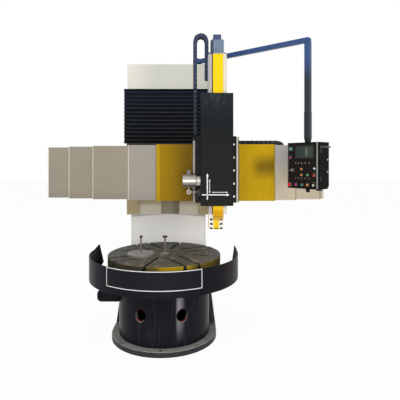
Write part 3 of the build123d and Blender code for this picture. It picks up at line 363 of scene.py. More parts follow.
def crown_paint(colour):
    """Column and crown: greyer to the right, with a pale line at the crown's foot."""
    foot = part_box("column_crown")[0].z
    s = Shader("beige_paint")
    cloud = s.noise(1.6, 4)
    fine = s.noise(34, 3)
    left = s.rise(s.x, -0.12, -0.40)
    tint = s.mix(left * 0.7, colour, tone(214, 211, 200))
    tint = s.mix(s.band(s.z, foot + 0.001, foot + 0.011, 0.002), tint, tone(238, 236, 226))
    tint = s.dim(tint, 0.95 + 0.07 * cloud + 0.03 * fine)
    return s.surface(tint, 0.42 + 0.12 * fine, normal=s.bump(s.noise(420, 2), 0.0004, 0.2), specular=0.25)


def white_paint():
    """The lower way covers: warm white with a shade under the crossrail and faint upright streaks."""
    c = values()
    s = Shader("warm_white_paint")
    streak = s.noise(3.0, 4, (9, 9, 0.7))
    aside = s.x.size()
    on_apron = s.rise(s.y, 0.62, 0.58) * s.rise(aside, 0.45, 0.42)
    shade = s.rise(s.z + aside * 0.08, 0.998, 1.004) * on_apron
    side = s.rise(aside, 0.370, 0.381)
    tint = s.dim(c["white"], 1.10 - 0.08 * streak - 0.36 * shade - 0.22 * side)
    return s.surface(tint, 0.42 + 0.12 * s.noise(60, 3), normal=s.bump(s.noise(380, 2), 0.0003, 0.2),
                     specular=0.25)


def enamel(name, colour):
    """Glossy blue-black enamel with brush marks and scuffs, redder at the guard's right tip."""
    s = Shader(name)
    cloud = s.noise(3.0, 4)
    scuff = s.rise(s.noise(26, 5, (1, 1, 0.35), 0.7), 0.60, 0.76)
    run = s.noise(90, 2, (1, 1, 0.12))
    tint = s.mix(scuff * 0.10, s.dim(colour, 0.75 + 0.5 * cloud), tone(84, 82, 84))
    right = s.band(s.x, 0.53, 0.66, 0.03) * s.rise(s.z, 0.60, 0.70)
    tint = s.mix(right * 0.75, tint, tone(34, 12, 14))
    return s.surface(tint, 0.30 + 0.10 * cloud + 0.25 * scuff,
                     normal=s.bump(0.7 * run + 0.3 * s.noise(260, 2), 0.0006, 0.35), specular=0.05)


def base_enamel():
    """The tub: enamel with a painted highlight streak, painted highlights on the holes' lower rims and along
    its top band, primer inside the lifting holes, and scuffed flares partly painted as lit.
    """
    c = values()
    s = Shader("base_enamel")
    cloud = s.noise(3.0, 4)
    patch = s.noise(13, 5, (1, 1, 0.6), 0.68)
    # Middle of a lifting hole and its radius, and the tub's radius
    hole_x, hole_y, hole_z, inside_r = 0.172, -0.36, 0.296, 0.0475
    tub_r = 0.400
    aside = s.x.size() - hole_x * (s.y / hole_y)
    away = (aside * aside * 1.15 + (s.z - hole_z) * (s.z - hole_z)) ** 0.5
    near_front = s.rise(s.y, -0.20, -0.26)
    rim = s.band(away, inside_r + 0.001, inside_r + 0.009, 0.0015) * near_front
    low_side = s.rise(s.z + s.x.size() * -0.6, hole_z - 0.085, hole_z - 0.125)
    radius = (s.x * s.x + s.y * s.y) ** 0.5
    inner = s.rise(radius, tub_r - 0.002, tub_r - 0.008) * near_front
    inner = inner * (1 - s.rise(away, inside_r + 0.004, inside_r + 0.008))
    flare = s.rise(s.x.size(), 0.384, 0.39) * s.rise(s.y, 0.10, 0.20) * s.rise(s.z, 0.36, 0.14)
    # Painted highlight: a pale upright streak on the tub's front where a lamp's reflection would lie.
    toward = s.x / (s.y * -1)
    streak_highlight = s.rise(toward, 0.30, 0.37) * s.rise(toward, 0.58, 0.38) * near_front * s.rise(s.z, 0.06, 0.34)
    streak_highlight = streak_highlight * (1 - s.rise(away, inside_r + 0.016, inside_r + 0.006))
    # Painted highlight: a paler band at the tub's top, brightest near the streak.
    upper = s.rise(s.z, 0.449, 0.453) * near_front
    tint = s.dim(c["base"], 0.80 + 0.5 * cloud)
    tint = s.mix(streak_highlight * (0.50 + 0.60 * s.noise(7, 4, (3, 3, 0.3))), tint, tone(146, 142, 150))
    tint = s.mix(upper * (0.22 + 0.40 * s.band(toward, 0.2, 0.8, 0.15)), tint, tone(96, 98, 104))
    tint = s.mix(s.rise(patch, 0.60, 0.74) * 0.12, tint, tone(105, 102, 104))
    runs = s.rise(s.noise(24, 3, (2.5, 2.5, 0.12)), 0.52, 0.74)
    tint = s.mix(runs * 0.13, tint, tone(92, 92, 100))
    # The flares' scuffed grey is partly painted highlight, paler where the sides would be lit.
    tint = s.mix(flare * s.rise(patch, 0.36, 0.62) * 0.7, tint, tone(104, 102, 102))
    # Painted highlight: the lower rims of the lifting holes are lightened as if lit.
    tint = s.mix(rim * low_side * 0.55, tint, tone(150, 148, 146))
    tint = s.mix(inner, tint, s.dim(c["rust"], 0.7 + 0.9 * patch))
    height = 0.6 * s.noise(90, 2, (1, 1, 0.12)) + 0.4 * s.noise(240, 2)
    roughness = 0.26 + 0.10 * cloud + 0.2 * flare
    return s.surface(tint, roughness, normal=s.bump(height, 0.0006, 0.35), specular=0.05)


def foot_enamel():
    """The foot: its upward faces are worn to dull grey-brown and painted paler as lit from above, its edge
    near black.
    """
    c = values()
    s = Shader("foot_enamel")
    patch = s.noise(11, 6, rough=0.7)
    # Upward faces take the pale grey: wear together with a painted highlight from above.
    up = s.rise(s.facing()[2], 0.35, 0.8)
    tint = s.mix(0.5, s.dim(c["base"], 0.7 + 0.8 * s.noise(5, 3)), tone(62, 60, 66))
    tint = s.mix(up * s.rise(patch, 0.18, 0.52), tint, tone(138, 136, 132))
    tint = s.mix(s.rise(s.noise(30, 5), 0.62, 0.75) * 0.35, tint, tone(110, 96, 104))
    return s.surface(tint, 0.40 + 0.25 * patch, normal=s.bump(patch, 0.001, 0.4), specular=0.12)


def table_steel():
    """The table: turned rings, stains and scratches on the top, a yellow worn rim."""
    table_r = 0.5
    c = values()
    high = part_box("worktable")[1].z
    s = Shader("table_steel")
    radius = (s.x * s.x + s.y * s.y) ** 0.5
    ring = s.node("ShaderNodeTexWave", {"wave_type": "RINGS", "rings_direction": "Z"},
                  {"Vector": s.place, "Scale": 46.0, "Distortion": 0.8, "Detail": 2.0})
    stain = s.noise(7.5, 6, rough=0.68)
    smear = s.noise(22, 5, (1, 0.4, 1), 0.7)
    grime = s.rise(s.noise(4.0, 5), 0.42, 0.66)
    top = s.dim(c["table"], 0.22 + 1.50 * stain + 0.18 * ring)
    top = s.mix(s.rise(smear, 0.52, 0.66) * 0.70, top, tone(150, 130, 100))
    top = s.mix(grime * 0.60, top, tone(34, 34, 31))
    back_left = s.rise(s.x * 0.7 - s.y * 0.7, 0.05, -0.35)
    top = s.mix(back_left * 0.5, top, tone(50, 60, 60))
    side = s.rise(radius, table_r - 0.0035, table_r - 0.0015) * s.rise(s.z, high - 0.15, high - 0.145)
    worn = s.rise(s.x, -0.16, 0.0) * s.rise(s.y, 0.1, -0.2)
    bright = s.rise(s.x, -0.04, 0.03) * s.rise(s.x, 0.27, 0.22) * s.rise(s.y, 0.0, -0.3)
    rim = s.mix(worn * 0.8, tone(72, 67, 50), s.dim(c["rim"], 0.75 + 0.5 * smear))
    rim = s.mix(bright * 0.75, rim, s.dim(tone(218, 180, 20), 0.70 + 0.5 * smear))
    rim = s.mix(s.rise(s.x, 0.40, 0.47) * 0.7, rim, tone(84, 74, 44))
    groove = s.band(s.z, high - 0.083, high - 0.067, 0.001)
    rim = s.mix(groove * 0.75, rim, tone(40, 34, 20))
    tint = s.mix(side, top, rim)
    tint = s.mix(s.rise(s.z, high - 0.152, high - 0.156), tint, tone(40, 38, 35))
    normal = s.bump(0.5 * ring + 0.5 * smear, 0.0005, 0.4)
    return s.surface(tint, 0.42 + 0.28 * stain - 0.05 * side, 0.15, normal, specular=0.2)


def brushed(name, colour, metallic=0.35, contrast=0.20, specular=0.25, tinge=None):
    """Brushed sheet: fine upright lines over cloudy reflections; tinge may change its colour by the place."""
    cloudy = 0.24
    s = Shader(name)
    line = s.noise(22, 4, (16, 16, 0.6), 0.7)
    cloud = s.noise(2.0, 3, (2.4, 2.4, 0.5))
    low = s.rise(s.z, 1.30, 1.19) * 0.10
    tint = s.dim(colour, 1 - contrast * 0.5 - cloudy * 0.5 + contrast * line + cloudy * cloud - low)
    if tinge:
        tint = tinge(s, tint, line)
    return s.surface(tint, 0.42 + 0.16 * line, metallic, s.bump(line, 0.0002, 0.25), specular=specular)


def cover_tinge(s, tint, line):
    """The outer covers: pale cream to grey at the right, and greyer beside the yellow at the left."""
    right = s.rise(s.x, RIGHT_COVERS, RIGHT_COVERS + 0.01)
    pale = s.mix(s.rise(s.z, 1.35, 1.62), tone(188, 176, 154), tone(168, 165, 162))
    tint = s.mix(right * 0.9, tint, s.dim(pale, 0.90 + 0.20 * line))
    beside_yellow = s.band(s.x, -0.36, -0.08, 0.01)
    return s.mix(beside_yellow * 0.5, tint, s.dim(tone(150, 145, 140), 0.88 + 0.22 * line))


def gold_sheet():
    """The yellow covers beside the saddle: lacquer with upright streaks, browner towards the head."""
    c = values()
    s = Shader("gold_sheet")
    line = s.noise(16, 5, (10, 10, 0.5), 0.7)
    fine = s.noise(48, 3, (9, 9, 0.4), 0.7)
    shade = s.rise(s.x, -0.02, 0.25) * s.rise(s.x, 0.30, 0.26)
    right = s.rise(s.x, RIGHT_COVERS, RIGHT_COVERS + 0.04)
    smudge = s.rise(s.x, 0.76, 0.89) * s.band(s.z, 1.42, 1.57, 0.08)
    tint = s.dim(c["gold"], 0.60 + 0.52 * line + 0.26 * fine)
    tint = s.mix(shade * 0.80, tint, s.dim(tone(98, 74, 16), 0.55 + 0.9 * line))
    tint = s.mix(right * 0.80, tint, s.dim(tone(196, 158, 16), 0.66 + 0.66 * line))
    tint = s.mix(smudge * 0.80, tint, s.dim(tone(100, 78, 18), 0.75 + 0.5 * line))
    left_end = s.band(s.x, -0.09, -0.055, 0.012)
    tint = s.mix(left_end * 0.5, tint, tone(196, 164, 24))
    return s.surface(tint, 0.40 + 0.14 * line, 0.0, s.bump(line, 0.0002, 0.2), specular=0.05)


def shoe_paint():
    """The crossrail's shoe: cream feet, a panel paler at its foot as a painted highlight, a recess darkened
    to grey-brown as painted shade, and black under the bellows.
    """
    c = values()
    s = Shader("shoe_paint")
    cloud = s.noise(6, 4)
    feet = 1 - s.band(s.x, -0.292, 0.310, 0.006)
    recess_shade = s.band(s.x, -0.070, 0.112, 0.004) * s.rise(s.z, 1.16, 1.148)
    # The panel is darker at its top and paler at its foot, where the pale is a painted highlight.
    panel = s.mix(s.rise(s.z, 1.135, 1.075), tone(180, 164, 130), tone(226, 218, 198))
    tint = s.mix(feet, panel, tone(190, 172, 132))
    # Painted shade in the recess, darker at its right.
    tint = s.mix(recess_shade * 0.75, tint, s.mix(s.rise(s.x, 0.02, 0.07), tone(132, 122, 96), tone(84, 76, 58)))
    tint = s.mix(s.rise(s.z, 1.19, 1.23), tint, c["beige"])
    tint = s.mix(s.rise(s.z, 1.655, 1.665), tint, tone(26, 28, 30))
    return s.surface(s.dim(tint, 0.94 + 0.20 * cloud), 0.45 + 0.12 * cloud,
                     normal=s.bump(s.noise(300, 2), 0.0004, 0.25), specular=0.25)


def ram_paint():
    """The ram: grey-white left, dark groove beside the strip and cream to the right."""
    c = values()
    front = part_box("ram_bar")[0].y
    strip_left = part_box("ram_front_strip")[0].x
    s = Shader("ram_paint")
    line = s.noise(20, 4, (8, 8, 0.5), 0.65)
    left = s.rise(s.x, strip_left - 0.010, strip_left - 0.014)
    groove = s.band(s.x, strip_left - 0.0105, strip_left, 0.001) * s.rise(s.y, front + 0.02, front + 0.01)
    tint = s.mix(left, c["cream"], tone(168, 163, 163))
    tint = s.mix(groove * 0.92, tint, tone(30, 30, 31))
    tint = s.dim(tint, 0.90 + 0.20 * line)
    return s.surface(tint, 0.36 + 0.14 * line, 0.0, s.bump(line, 0.0002, 0.2), specular=0.1)


def strip_paint():
    """The yellow strip on the ram: bright above, golden and worn at its foot."""
    c = values()
    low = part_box("ram_front_strip")[0]
    s = Shader("strip_paint")
    line = s.noise(14, 4, (6, 6, 0.6), 0.6)
    foot = s.rise(s.z, low.z + 0.110, low.z + 0.06)
    lip = s.rise(s.z, low.z + 0.028, low.z + 0.022)
    tint = s.dim(c["yellow"], 0.88 + 0.20 * line)
    tint = s.mix(foot * 0.85, tint, tone(196, 140, 10))
    tint = s.mix(lip * 0.7, tint, tone(190, 150, 60))
    tint = s.mix(s.band(s.z, low.z + 0.020, low.z + 0.026, 0.001) * 0.7, tint, tone(110, 80, 30))
    return s.surface(tint, 0.40 + 0.12 * line, normal=s.bump(line, 0.0002, 0.2), specular=0.06)


def hazard_paint():
    """The tool holder: yellow middle, white sides with short slanting black bars."""
    pitch = 0.0388
    c = values()
    low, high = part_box("tool_holder")
    middle = (low.x + high.x) / 2
    s = Shader("hazard_paint")
    wear = s.noise(26, 5, rough=0.65)
    offset = s.x - middle
    aside = offset.size()
    front = s.rise(s.y, low.y + 0.004, low.y + 0.002)
    white_side = s.rise(aside, 0.024, 0.027)
    turn = ((s.z - low.z + aside * -0.25) / pitch + 0.55).part()
    bar = s.band(turn, 0.26, 0.72, 0.03) * s.band(aside, 0.031, 0.055, 0.001)
    bar = bar * s.band(s.z, low.z + 0.002, high.z - 0.036, 0.002)
    tint = s.mix(white_side * front, s.dim(c["yellow"], 0.80 + 0.3 * wear), tone(234, 232, 224))
    tint = s.mix(bar * front, tint, tone(24, 24, 26))
    oil = s.rise(s.z + 0.01 * wear, low.z + 0.024, low.z + 0.012) * s.band(offset, -0.016, 0.018, 0.006)
    tint = s.mix(oil * 0.85 * front, tint, tone(30, 26, 22))
    return s.surface(tint, 0.38 + 0.2 * wear, normal=s.bump(wear, 0.0004, 0.3), specular=0.2)


def bellows_cloth():
    """Coated cloth: woven grain, pale lines on the crests that are dust together with a painted highlight,
    and a navy cast above.
    """
    c = values()
    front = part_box("bellows")[0].y
    s = Shader("bellows_cloth")
    weave = s.node("ShaderNodeTexWave", {"wave_type": "BANDS", "bands_direction": "X"},
                   {"Vector": s.place, "Scale": 210.0, "Distortion": 0.6})
    cross = s.node("ShaderNodeTexWave", {"wave_type": "BANDS", "bands_direction": "Z"},
                   {"Vector": s.place, "Scale": 210.0, "Distortion": 0.6})
    dust = s.noise(18, 5, (0.5, 1, 1))
    high = s.rise(s.z, 2.00, 2.22)
    tint = s.mix(high, c["cloth"], tone(23, 26, 37))
    # Pale crest lines: dust together with a painted highlight on each fold's crest.
    crest = s.rise(s.y, front + 0.0040, front + 0.0010)
    line = s.mix(high, tone(88, 94, 98), tone(66, 78, 94))
    tint = s.mix(crest * (0.30 + 0.45 * dust), s.dim(tint, 0.75 + 0.5 * dust), line)
    return s.surface(tint, 0.60 + 0.2 * dust, normal=s.bump(0.5 * weave + 0.5 * cross, 0.0003, 0.35),
                     specular=0.03)


def chain_plastic():
    """Moulded plastic with scuffed edges, blue above and near black below."""
    c = values()
    s = Shader("chain_plastic")
    wear = s.noise(44, 5, rough=0.65)
    tint = s.mix(s.rise(s.z, 2.36, 2.02), c["chain"], tone(32, 36, 43))
    tint = s.mix(s.rise(wear, 0.58, 0.75) * 0.30, s.dim(tint, 0.7 + 0.6 * s.noise(9, 3)), tone(92, 98, 110))
    return s.surface(tint, 0.45 + 0.2 * wear, normal=s.bump(wear, 0.0003, 0.3), specular=0.2)


def arm_paint():
    """The arm: blue above, on the post turning green-black downwards, with a paler blue painted highlight on
    its upward faces.
    """
    c = values()
    s = Shader("arm_paint")
    cloud = s.noise(9, 4)
    down = s.rise(s.z, 2.46, 2.20)
    glow = s.facing()[2]
    tint = s.mix(down, c["arm"], tone(28, 40, 42))
    # Painted highlight: upward faces are paler blue.
    tint = s.mix(s.rise(glow, 0.5, 0.9) * 0.3, tint, tone(92, 118, 160))
    return s.surface(s.dim(tint, 0.85 + 0.3 * cloud), 0.32 + 0.12 * cloud,
                     normal=s.bump(s.noise(300, 2), 0.0004, 0.25), specular=0.2)


def bright_metal(name, colour, roughness=0.22, metallic=0.85):
    """Machined steel with fine marks."""
    s = Shader(name)
    line = s.noise(60, 3)
    return s.surface(s.dim(colour, 0.82 + 0.30 * line), roughness + 0.14 * line, metallic,
                     s.bump(line, 0.0001, 0.2), specular=0.4)


def drum_steel():
    """The drum: satin silver with a painted highlight band along its middle, a dark line and a light lower
    rim.
    """
    low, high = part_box("side_drum")
    s = Shader("drum_steel")
    line = s.noise(40, 3, (6, 1, 1))
    up = s.z - (low.z + high.z) / 2
    tint = s.dim(tone(168, 164, 156), 0.85 + 0.3 * line)
    # Painted highlight: a bright band along the drum's middle.
    tint = s.mix(s.band(up, -0.006, 0.014, 0.005) * 0.8, tint, tone(238, 234, 226))
    tint = s.mix(s.band(up, -0.046, -0.036, 0.003) * 0.8, tint, tone(84, 44, 36))
    tint = s.mix(s.rise(up, 0.020, 0.050) * 0.45, tint, tone(96, 94, 92))
    return s.surface(tint, 0.34 + 0.12 * line, 0.45, s.bump(line, 0.0001, 0.2), specular=0.3)


def plastic(name, colour, roughness=0.35, specular=0.25):
    """Moulded plastic or rubber with a fine grain."""
    s = Shader(name)
    fine = s.noise(220, 3)
    return s.surface(s.dim(colour, 0.9 + 0.2 * s.noise(30, 2)), roughness + 0.08 * fine,
                     normal=s.bump(fine, 0.0002, 0.15), specular=specular)


def motor_paint():
    """Blue-grey motor: paler on the fins' edges, dark at the left."""
    c = values()
    low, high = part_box("ram_motor")
    s = Shader("motor_paint")
    cloud = s.noise(12, 4)
    left = s.rise(s.x, low.x + 0.050, low.x + 0.038)
    edge = s.rise(s.y, low.y + 0.030, low.y + 0.024) * s.rise(s.z, high.z - 0.05, high.z - 0.06)
    tint = s.mix(edge * 0.65, c["navy"], tone(150, 166, 184))
    tint = s.mix(left * 0.85, tint, tone(34, 42, 62))
    return s.surface(s.dim(tint, 0.85 + 0.3 * cloud), 0.40 + 0.1 * cloud,
                     normal=s.bump(s.noise(260, 2), 0.0004, 0.25), specular=0.2)


def screen_face():
    """The dull display: a dark grey-green face with one paler field."""
    low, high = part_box("pendant_screen")
    s = Shader("screen_face")
    along = (s.x - low.x) / (high.x - low.x)
    up = (s.z - low.z) / (high.z - low.z)
    field = s.band(along, 0.52, 0.66, 0.01) * s.band(up, 0.12, 0.90, 0.02)
    other = s.band(along, 0.70, 0.95, 0.02) * s.band(up, 0.12, 0.88, 0.02)
    rows = s.band((up * 9).part(), 0.2, 0.5, 0.05)
    tint = s.mix(other * 0.6, tone(54, 60, 57), tone(66, 72, 62))
    tint = s.mix(field * 0.55, tint, tone(112, 120, 112))
    tint = s.mix(rows * 0.25, tint, tone(44, 50, 47))
    tint = s.dim(tint, 0.92 + 0.16 * s.noise(40, 3))
    return s.surface(tint, 0.30, specular=0.08)


def coat_nodes():
    """Gives every solid of the frame its finish, by its slot, with a few finishes of single pieces."""
    c = values()
    finishes = {
        "machine_beige": crown_paint(c["beige"]),
        "machine_white": white_paint(),
        "graphite_paint": paint("black_paint", c["black"], 0.42, 0.5, specular=0.06),
        "guard_blue": enamel("guard_enamel", c["base"]),
        "base_blue": base_enamel(),
        "worn_steel": brushed("worn_steel", tone(126, 122, 114), 0.7),
        "table_steel": table_steel(),
        "cover_steel": brushed("cover_sheet", c["cover"], 0.2, 0.34, 0.15, cover_tinge),
        "cover_yellow": gold_sheet(),
        "bright_yellow": strip_paint(),
        "ram_cream": ram_paint(),
        "wiper_strip": wiper_sheet(),
        "bellows_cloth": bellows_cloth(),
        "polished_steel": bright_metal("polished_steel", tone(196, 193, 188)),
        "chain_plastic": chain_plastic(),
        "motor_paint": motor_paint(),
        "hazard_paint": hazard_paint(),
        "arm_paint": arm_paint(),
        "pendant_paint": paint("pendant_paint", tone(15, 18, 15), 0.42, 0.4, specular=0.04),
        "panel_paint": paint("panel_paint", tone(30, 26, 24), 0.5, 0.3, 0.5, specular=0.04),
        "screen_glass": screen_face(),
        "button_plastic": plastic("button_plastic", tone(120, 60, 40)),
        "handle_plastic": plastic("handle_plastic", tone(74, 76, 74), 0.45, specular=0.1),
    }
    single = {
        "foot_plate": foot_enamel(),
        "crossrail_shoe": shoe_paint(),
        "side_drum": drum_steel(),
        "saddle_plate": paint("saddle_paint", tone(30, 29, 29), 0.40, 0.6, specular=0.1),
        "head_cover": head_paint(c["black"]),
        "rod_stand": stand_steel("rod_stand", 0.018),
        "centre_pin": stand_steel("centre_pin", 0.014),
        "eye_link": link_steel(),
    }
    for name, node in frame["nodes"].items():
        node.data.materials.clear()
        node.data.materials.append(single.get(name) or finishes[slot_of[name]])


def round_edges(piece, width, angle):
    """Rounds the edges that bend by more than an angle in degrees."""
    bevel = piece.modifiers.new("edge", "BEVEL")
    bevel.width = width
    bevel.segments = 2
    bevel.limit_method = "ANGLE"
    bevel.angle_limit = radians(angle)


def soften(name, width):
    """Joins a solid's flat faces and rounds its sharp edges a little, so that they catch the light."""
    node = frame["nodes"][name]
    weld = node.modifiers.new("weld", "WELD")
    weld.merge_threshold = 0.00002
    flat = node.modifiers.new("flat", "DECIMATE")
    flat.decimate_type = "DISSOLVE"
    flat.angle_limit = radians(0.6)
    round_edges(node, width, 38)
    normal = node.modifiers.new("shade", "WEIGHTED_NORMAL")
    normal.keep_sharp = True


# Meshes


class Shape:
    """A mesh built up from closed solids, each with the number of its material."""

    def __init__(self):
        self.mesh = bmesh.new()
        self.place = Matrix.Identity(4)

    def solid(self, rings, material=0, closed=False):
        """Joins rings of as many points each; the ends are capped unless the rings close on themselves."""
        loops = [[self.mesh.verts.new(self.place @ Vector(point)) for point in ring] for ring in rings]
        pairs = list(zip(loops, loops[1:]))
        if closed:
            pairs.append((loops[-1], loops[0]))
        corners = []
        for first, second in pairs:
            for k in range(len(first)):
                after = (k + 1) % len(first)
                corners.append((first[k], first[after], second[after], second[k]))
        if not closed:
            corners += [loops[0], loops[-1]]
        for face_corners in corners:
            face = self.mesh.faces.new(face_corners)
            face.material_index = material
            face.smooth = True

    def box(self, low, high, material=0):
        """A box between two corners."""
        (x0, y0, z0), (x1, y1, z1) = low, high
        self.solid([[(x0, y0, z), (x1, y0, z), (x1, y1, z), (x0, y1, z)] for z in (z0, z1)], material)

    def plate(self, outline, start, end, material=0):
        """An outline of X and Z, drawn out along Y."""
        self.solid([[(x, y, z) for x, z in outline] for y in (start, end)], material)

    def turned(self, profile, material=0):
        """Radii and heights turned about the place's Z."""
        turns = [2 * pi * k / ROUND_SIDES for k in range(ROUND_SIDES)]
        self.solid([[(r * cos(t), r * sin(t), h) for t in turns] for r, h in profile], material)

    def cap_screw(self, radius):
        """A cap screw's head with its hexagon socket, standing on the place's floor."""
        sides = 24
        height = radius * 0.9
        # Share of the radius, share of the height, and whether the ring is the socket's hexagon
        profile = ((1, -0.3, False), (1, 0.86, False), (0.88, 1, False), (0.60, 1, False),
                   (0.52, 0.93, True), (0.50, 0.35, True))
        rings = []
        for size, lift, six in profile:
            ring = []
            for k in range(sides):
                turn = 2 * pi * k / sides
                out = size * radius
                if six:
                    out /= cos((turn + pi / 6) % (pi / 3) - pi / 6)
                ring.append((out * cos(turn), out * sin(turn), lift * height))
            rings.append(ring)
        self.solid(rings)

    def finish(self, name, slot_name, *names, edge=0.0):
        """Turns the mesh into a piece with these materials."""
        bmesh.ops.recalc_face_normals(self.mesh, faces=self.mesh.faces)
        data = bpy.data.meshes.new(name)
        self.mesh.to_mesh(data)
        self.mesh.free()
        data.set_sharp_from_angle(angle=radians(35))
        for material in names:
            data.materials.append(bpy.data.materials[PREFIX + material])
        piece = bpy.data.objects.new(name, data)
        bpy.context.scene.collection.objects.link(piece)
        if edge:
            round_edges(piece, edge, 40)
        return piece


def facing_place(x, y, z, out):
    """A place at a point whose Z looks along out."""
    turn = Vector(out).to_track_quat("Z", "Y").to_matrix().to_4x4()
    return Matrix.Translation((x, y, z)) @ turn


def screws(name, body, slot_name, material, radius, places, out):
    """Equal cap screws on one face, as one piece."""
    shape = Shape()
    for place in places:
        shape.place = facing_place(*place, out)
        shape.cap_screw(radius)
    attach(shape.finish(name, slot_name, material), body)


# Bellows


def bellows_line(half, front, back, corner, columns):
    """The bellows' outline from above: up the left side, across the front and down the right side."""
    points = [(-half, back), (-half, (back + front) / 2), (-half, front + corner)]
    for k in range(1, 4):
        turn = pi / 2 * k / 4
        points.append((-half + corner * (1 - cos(turn)), front + corner * (1 - sin(turn))))
    for k in range(columns + 1):
        points.append((-half + corner + 2 * (half - corner) * k / columns, front))
    return points + [(-x, y) for x, y in reversed(points[:6])]


def build_bellows():
    """One pleated cloth round the column's front and sides, a little uneven as cloth is."""
    low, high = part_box("bellows")
    pleats = bpy.context.scene.lathe_sizes.pleats
    depth, cloth, corner, columns = 0.015, 0.0025, 0.007, 36
    # Share of a pleat's height, and share of its depth at which the cloth lies there
    folds = ((0, 1.0), (0.10, 0.93), (0.26, 0.62), (0.40, 0.26), (0.47, 0.05), (0.50, 0.0), (0.53, 0.05),
             (0.60, 0.26), (0.74, 0.62), (0.90, 0.93))
    pitch = (high.z - low.z) / pleats
    levels = [((k + share) * pitch, inward * depth) for k in range(pleats) for share, inward in folds]
    levels.append((pleats * pitch, depth))
    shape = Shape()
    sheets = []
    for thick in (0, cloth):
        rows = []
        for height, inward in levels:
            inset = inward + thick
            row = []
            for x, y in bellows_line(high.x - inset, low.y + inset, high.y, corner, columns):
                # The cloth waves and sags, but not at its two ends
                held = min(1, height / pitch, (pleats * pitch - height) / pitch)
                middle = 1 - (x / high.x) ** 2
                long_wave = 0.0009 * sin(23 * x + 1.7 * height / pitch)
                short_wave = 0.0006 * sin(61 * x + height * 90)
                sag = -0.0028 * middle + long_wave + short_wave
                # The sides fold less deeply than the front
                wide = x * (high.x - inset + 0.82 * inward) / (high.x - inset)
                row.append(shape.mesh.verts.new((wide, y, low.z + height + held * sag)))
            rows.append(row)
        sheets.append(rows)
    outer, inner = sheets
    last = len(outer[0]) - 1
    for k in range(len(levels) - 1):
        for rows in sheets:
            for j in range(last):
                shape.mesh.faces.new((rows[k][j], rows[k][j + 1], rows[k + 1][j + 1], rows[k + 1][j]))
        for j in (0, last):
            shape.mesh.faces.new((outer[k][j], inner[k][j], inner[k + 1][j], outer[k + 1][j]))
    for k in (0, len(levels) - 1):
        for j in range(last):
            shape.mesh.faces.new((outer[k][j], outer[k][j + 1], inner[k][j + 1], inner[k][j]))
    for face in shape.mesh.faces:
        face.smooth = True
    piece = shape.finish("bellows_pleats", "bellows_cloth", "bellows_cloth")
    high.z
    low.z
    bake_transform(piece)
    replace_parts(piece, "bellows")


# Cable chains


def run_joints(start, end, pitch):
    """Joints of a straight run of links."""
    (x0, z0), (x1, z1) = start, end
    count = max(1, round(((x1 - x0) ** 2 + (z1 - z0) ** 2) ** 0.5 / pitch))
    return [(x0 + (x1 - x0) * k / count, z0 + (z1 - z0) * k / count) for k in range(count + 1)]


def bend_joints(centre, radius, first, last, count):
    """Joints round a bend, from one angle in degrees to another, after its first joint."""
    turns = [radians(first + (last - first) * k / count) for k in range(1, count + 1)]
    return [(centre[0] + radius * cos(t), centre[1] + radius * sin(t)) for t in turns]


def link_chain(name, joints, width, middle, height, hoses, parity=0):
    """Links between the joints, in turn wider and narrower, with cross bars, pins and the hoses inside."""
    # Thickness of a side plate and of a cross bar, and the pins' radius
    side, bar, pin_r = 0.0042, 0.0035, 0.0055
    half = height / 2
    reach = half * 0.94
    shape = Shape()
    for k, ((x0, z0), (x1, z1)) in enumerate(zip(joints, joints[1:])):
        along = Vector((x1 - x0, 0, z1 - z0))
        pitch = along.length
        along.normalize()
        across = Vector((-along.z, 0, along.x))
        inside = side * ((k + parity) % 2)
        outline = []
        for centre, first in ((pitch, -90), (0, 90)):
            for j in range(7):
                turn = radians(first + 30 * j)
                outline.append((centre + reach * 0.62 * cos(turn), reach * sin(turn)))
        shape.place = Matrix((
            (along.x, 0, across.x, x0), (0, 1, 0, middle), (along.z, 0, across.z, z0), (0, 0, 0, 1)))
        edge = width / 2 - inside
        for sign in (-1, 1):
            shape.plate(outline, sign * edge, sign * (edge - side))
            face = sign * (width / 2 + 0.0002)
            shape.plate([(pin_r * cos(2 * pi * j / 10), pin_r * sin(2 * pi * j / 10)) for j in range(10)],
                        face, face - sign * 0.002, 1)
        for low, high in ((-half, -half + bar), (half - bar, half)):
            shape.box((pitch * 0.26, -edge, low), (pitch * 0.74, edge, high))
    shape.place = Matrix.Identity(4)
    last = len(joints) - 1
    for j, (share, radius) in enumerate(hoses):
        rings = []
        for k, (x, z) in enumerate(joints):
            before, after = joints[max(k - 1, 0)], joints[min(k + 1, last)]
            along = Vector((after[0] - before[0], 0, after[1] - before[1])).normalized()
            across = Vector((-along.z, 0, along.x))
            y = middle + share * width
            ring = []
            for i in range(10):
                up, out = radius * cos(2 * pi * i / 10), radius * sin(2 * pi * i / 10)
                ring.append((x + up * across.x, y + out, z + up * across.z))
            rings.append(ring)
        shape.solid(rings, 2 + j % 2)
    return shape.finish(name, "chain_plastic", "chain_plastic", "pin_steel", "hose_black", "hose_grey")


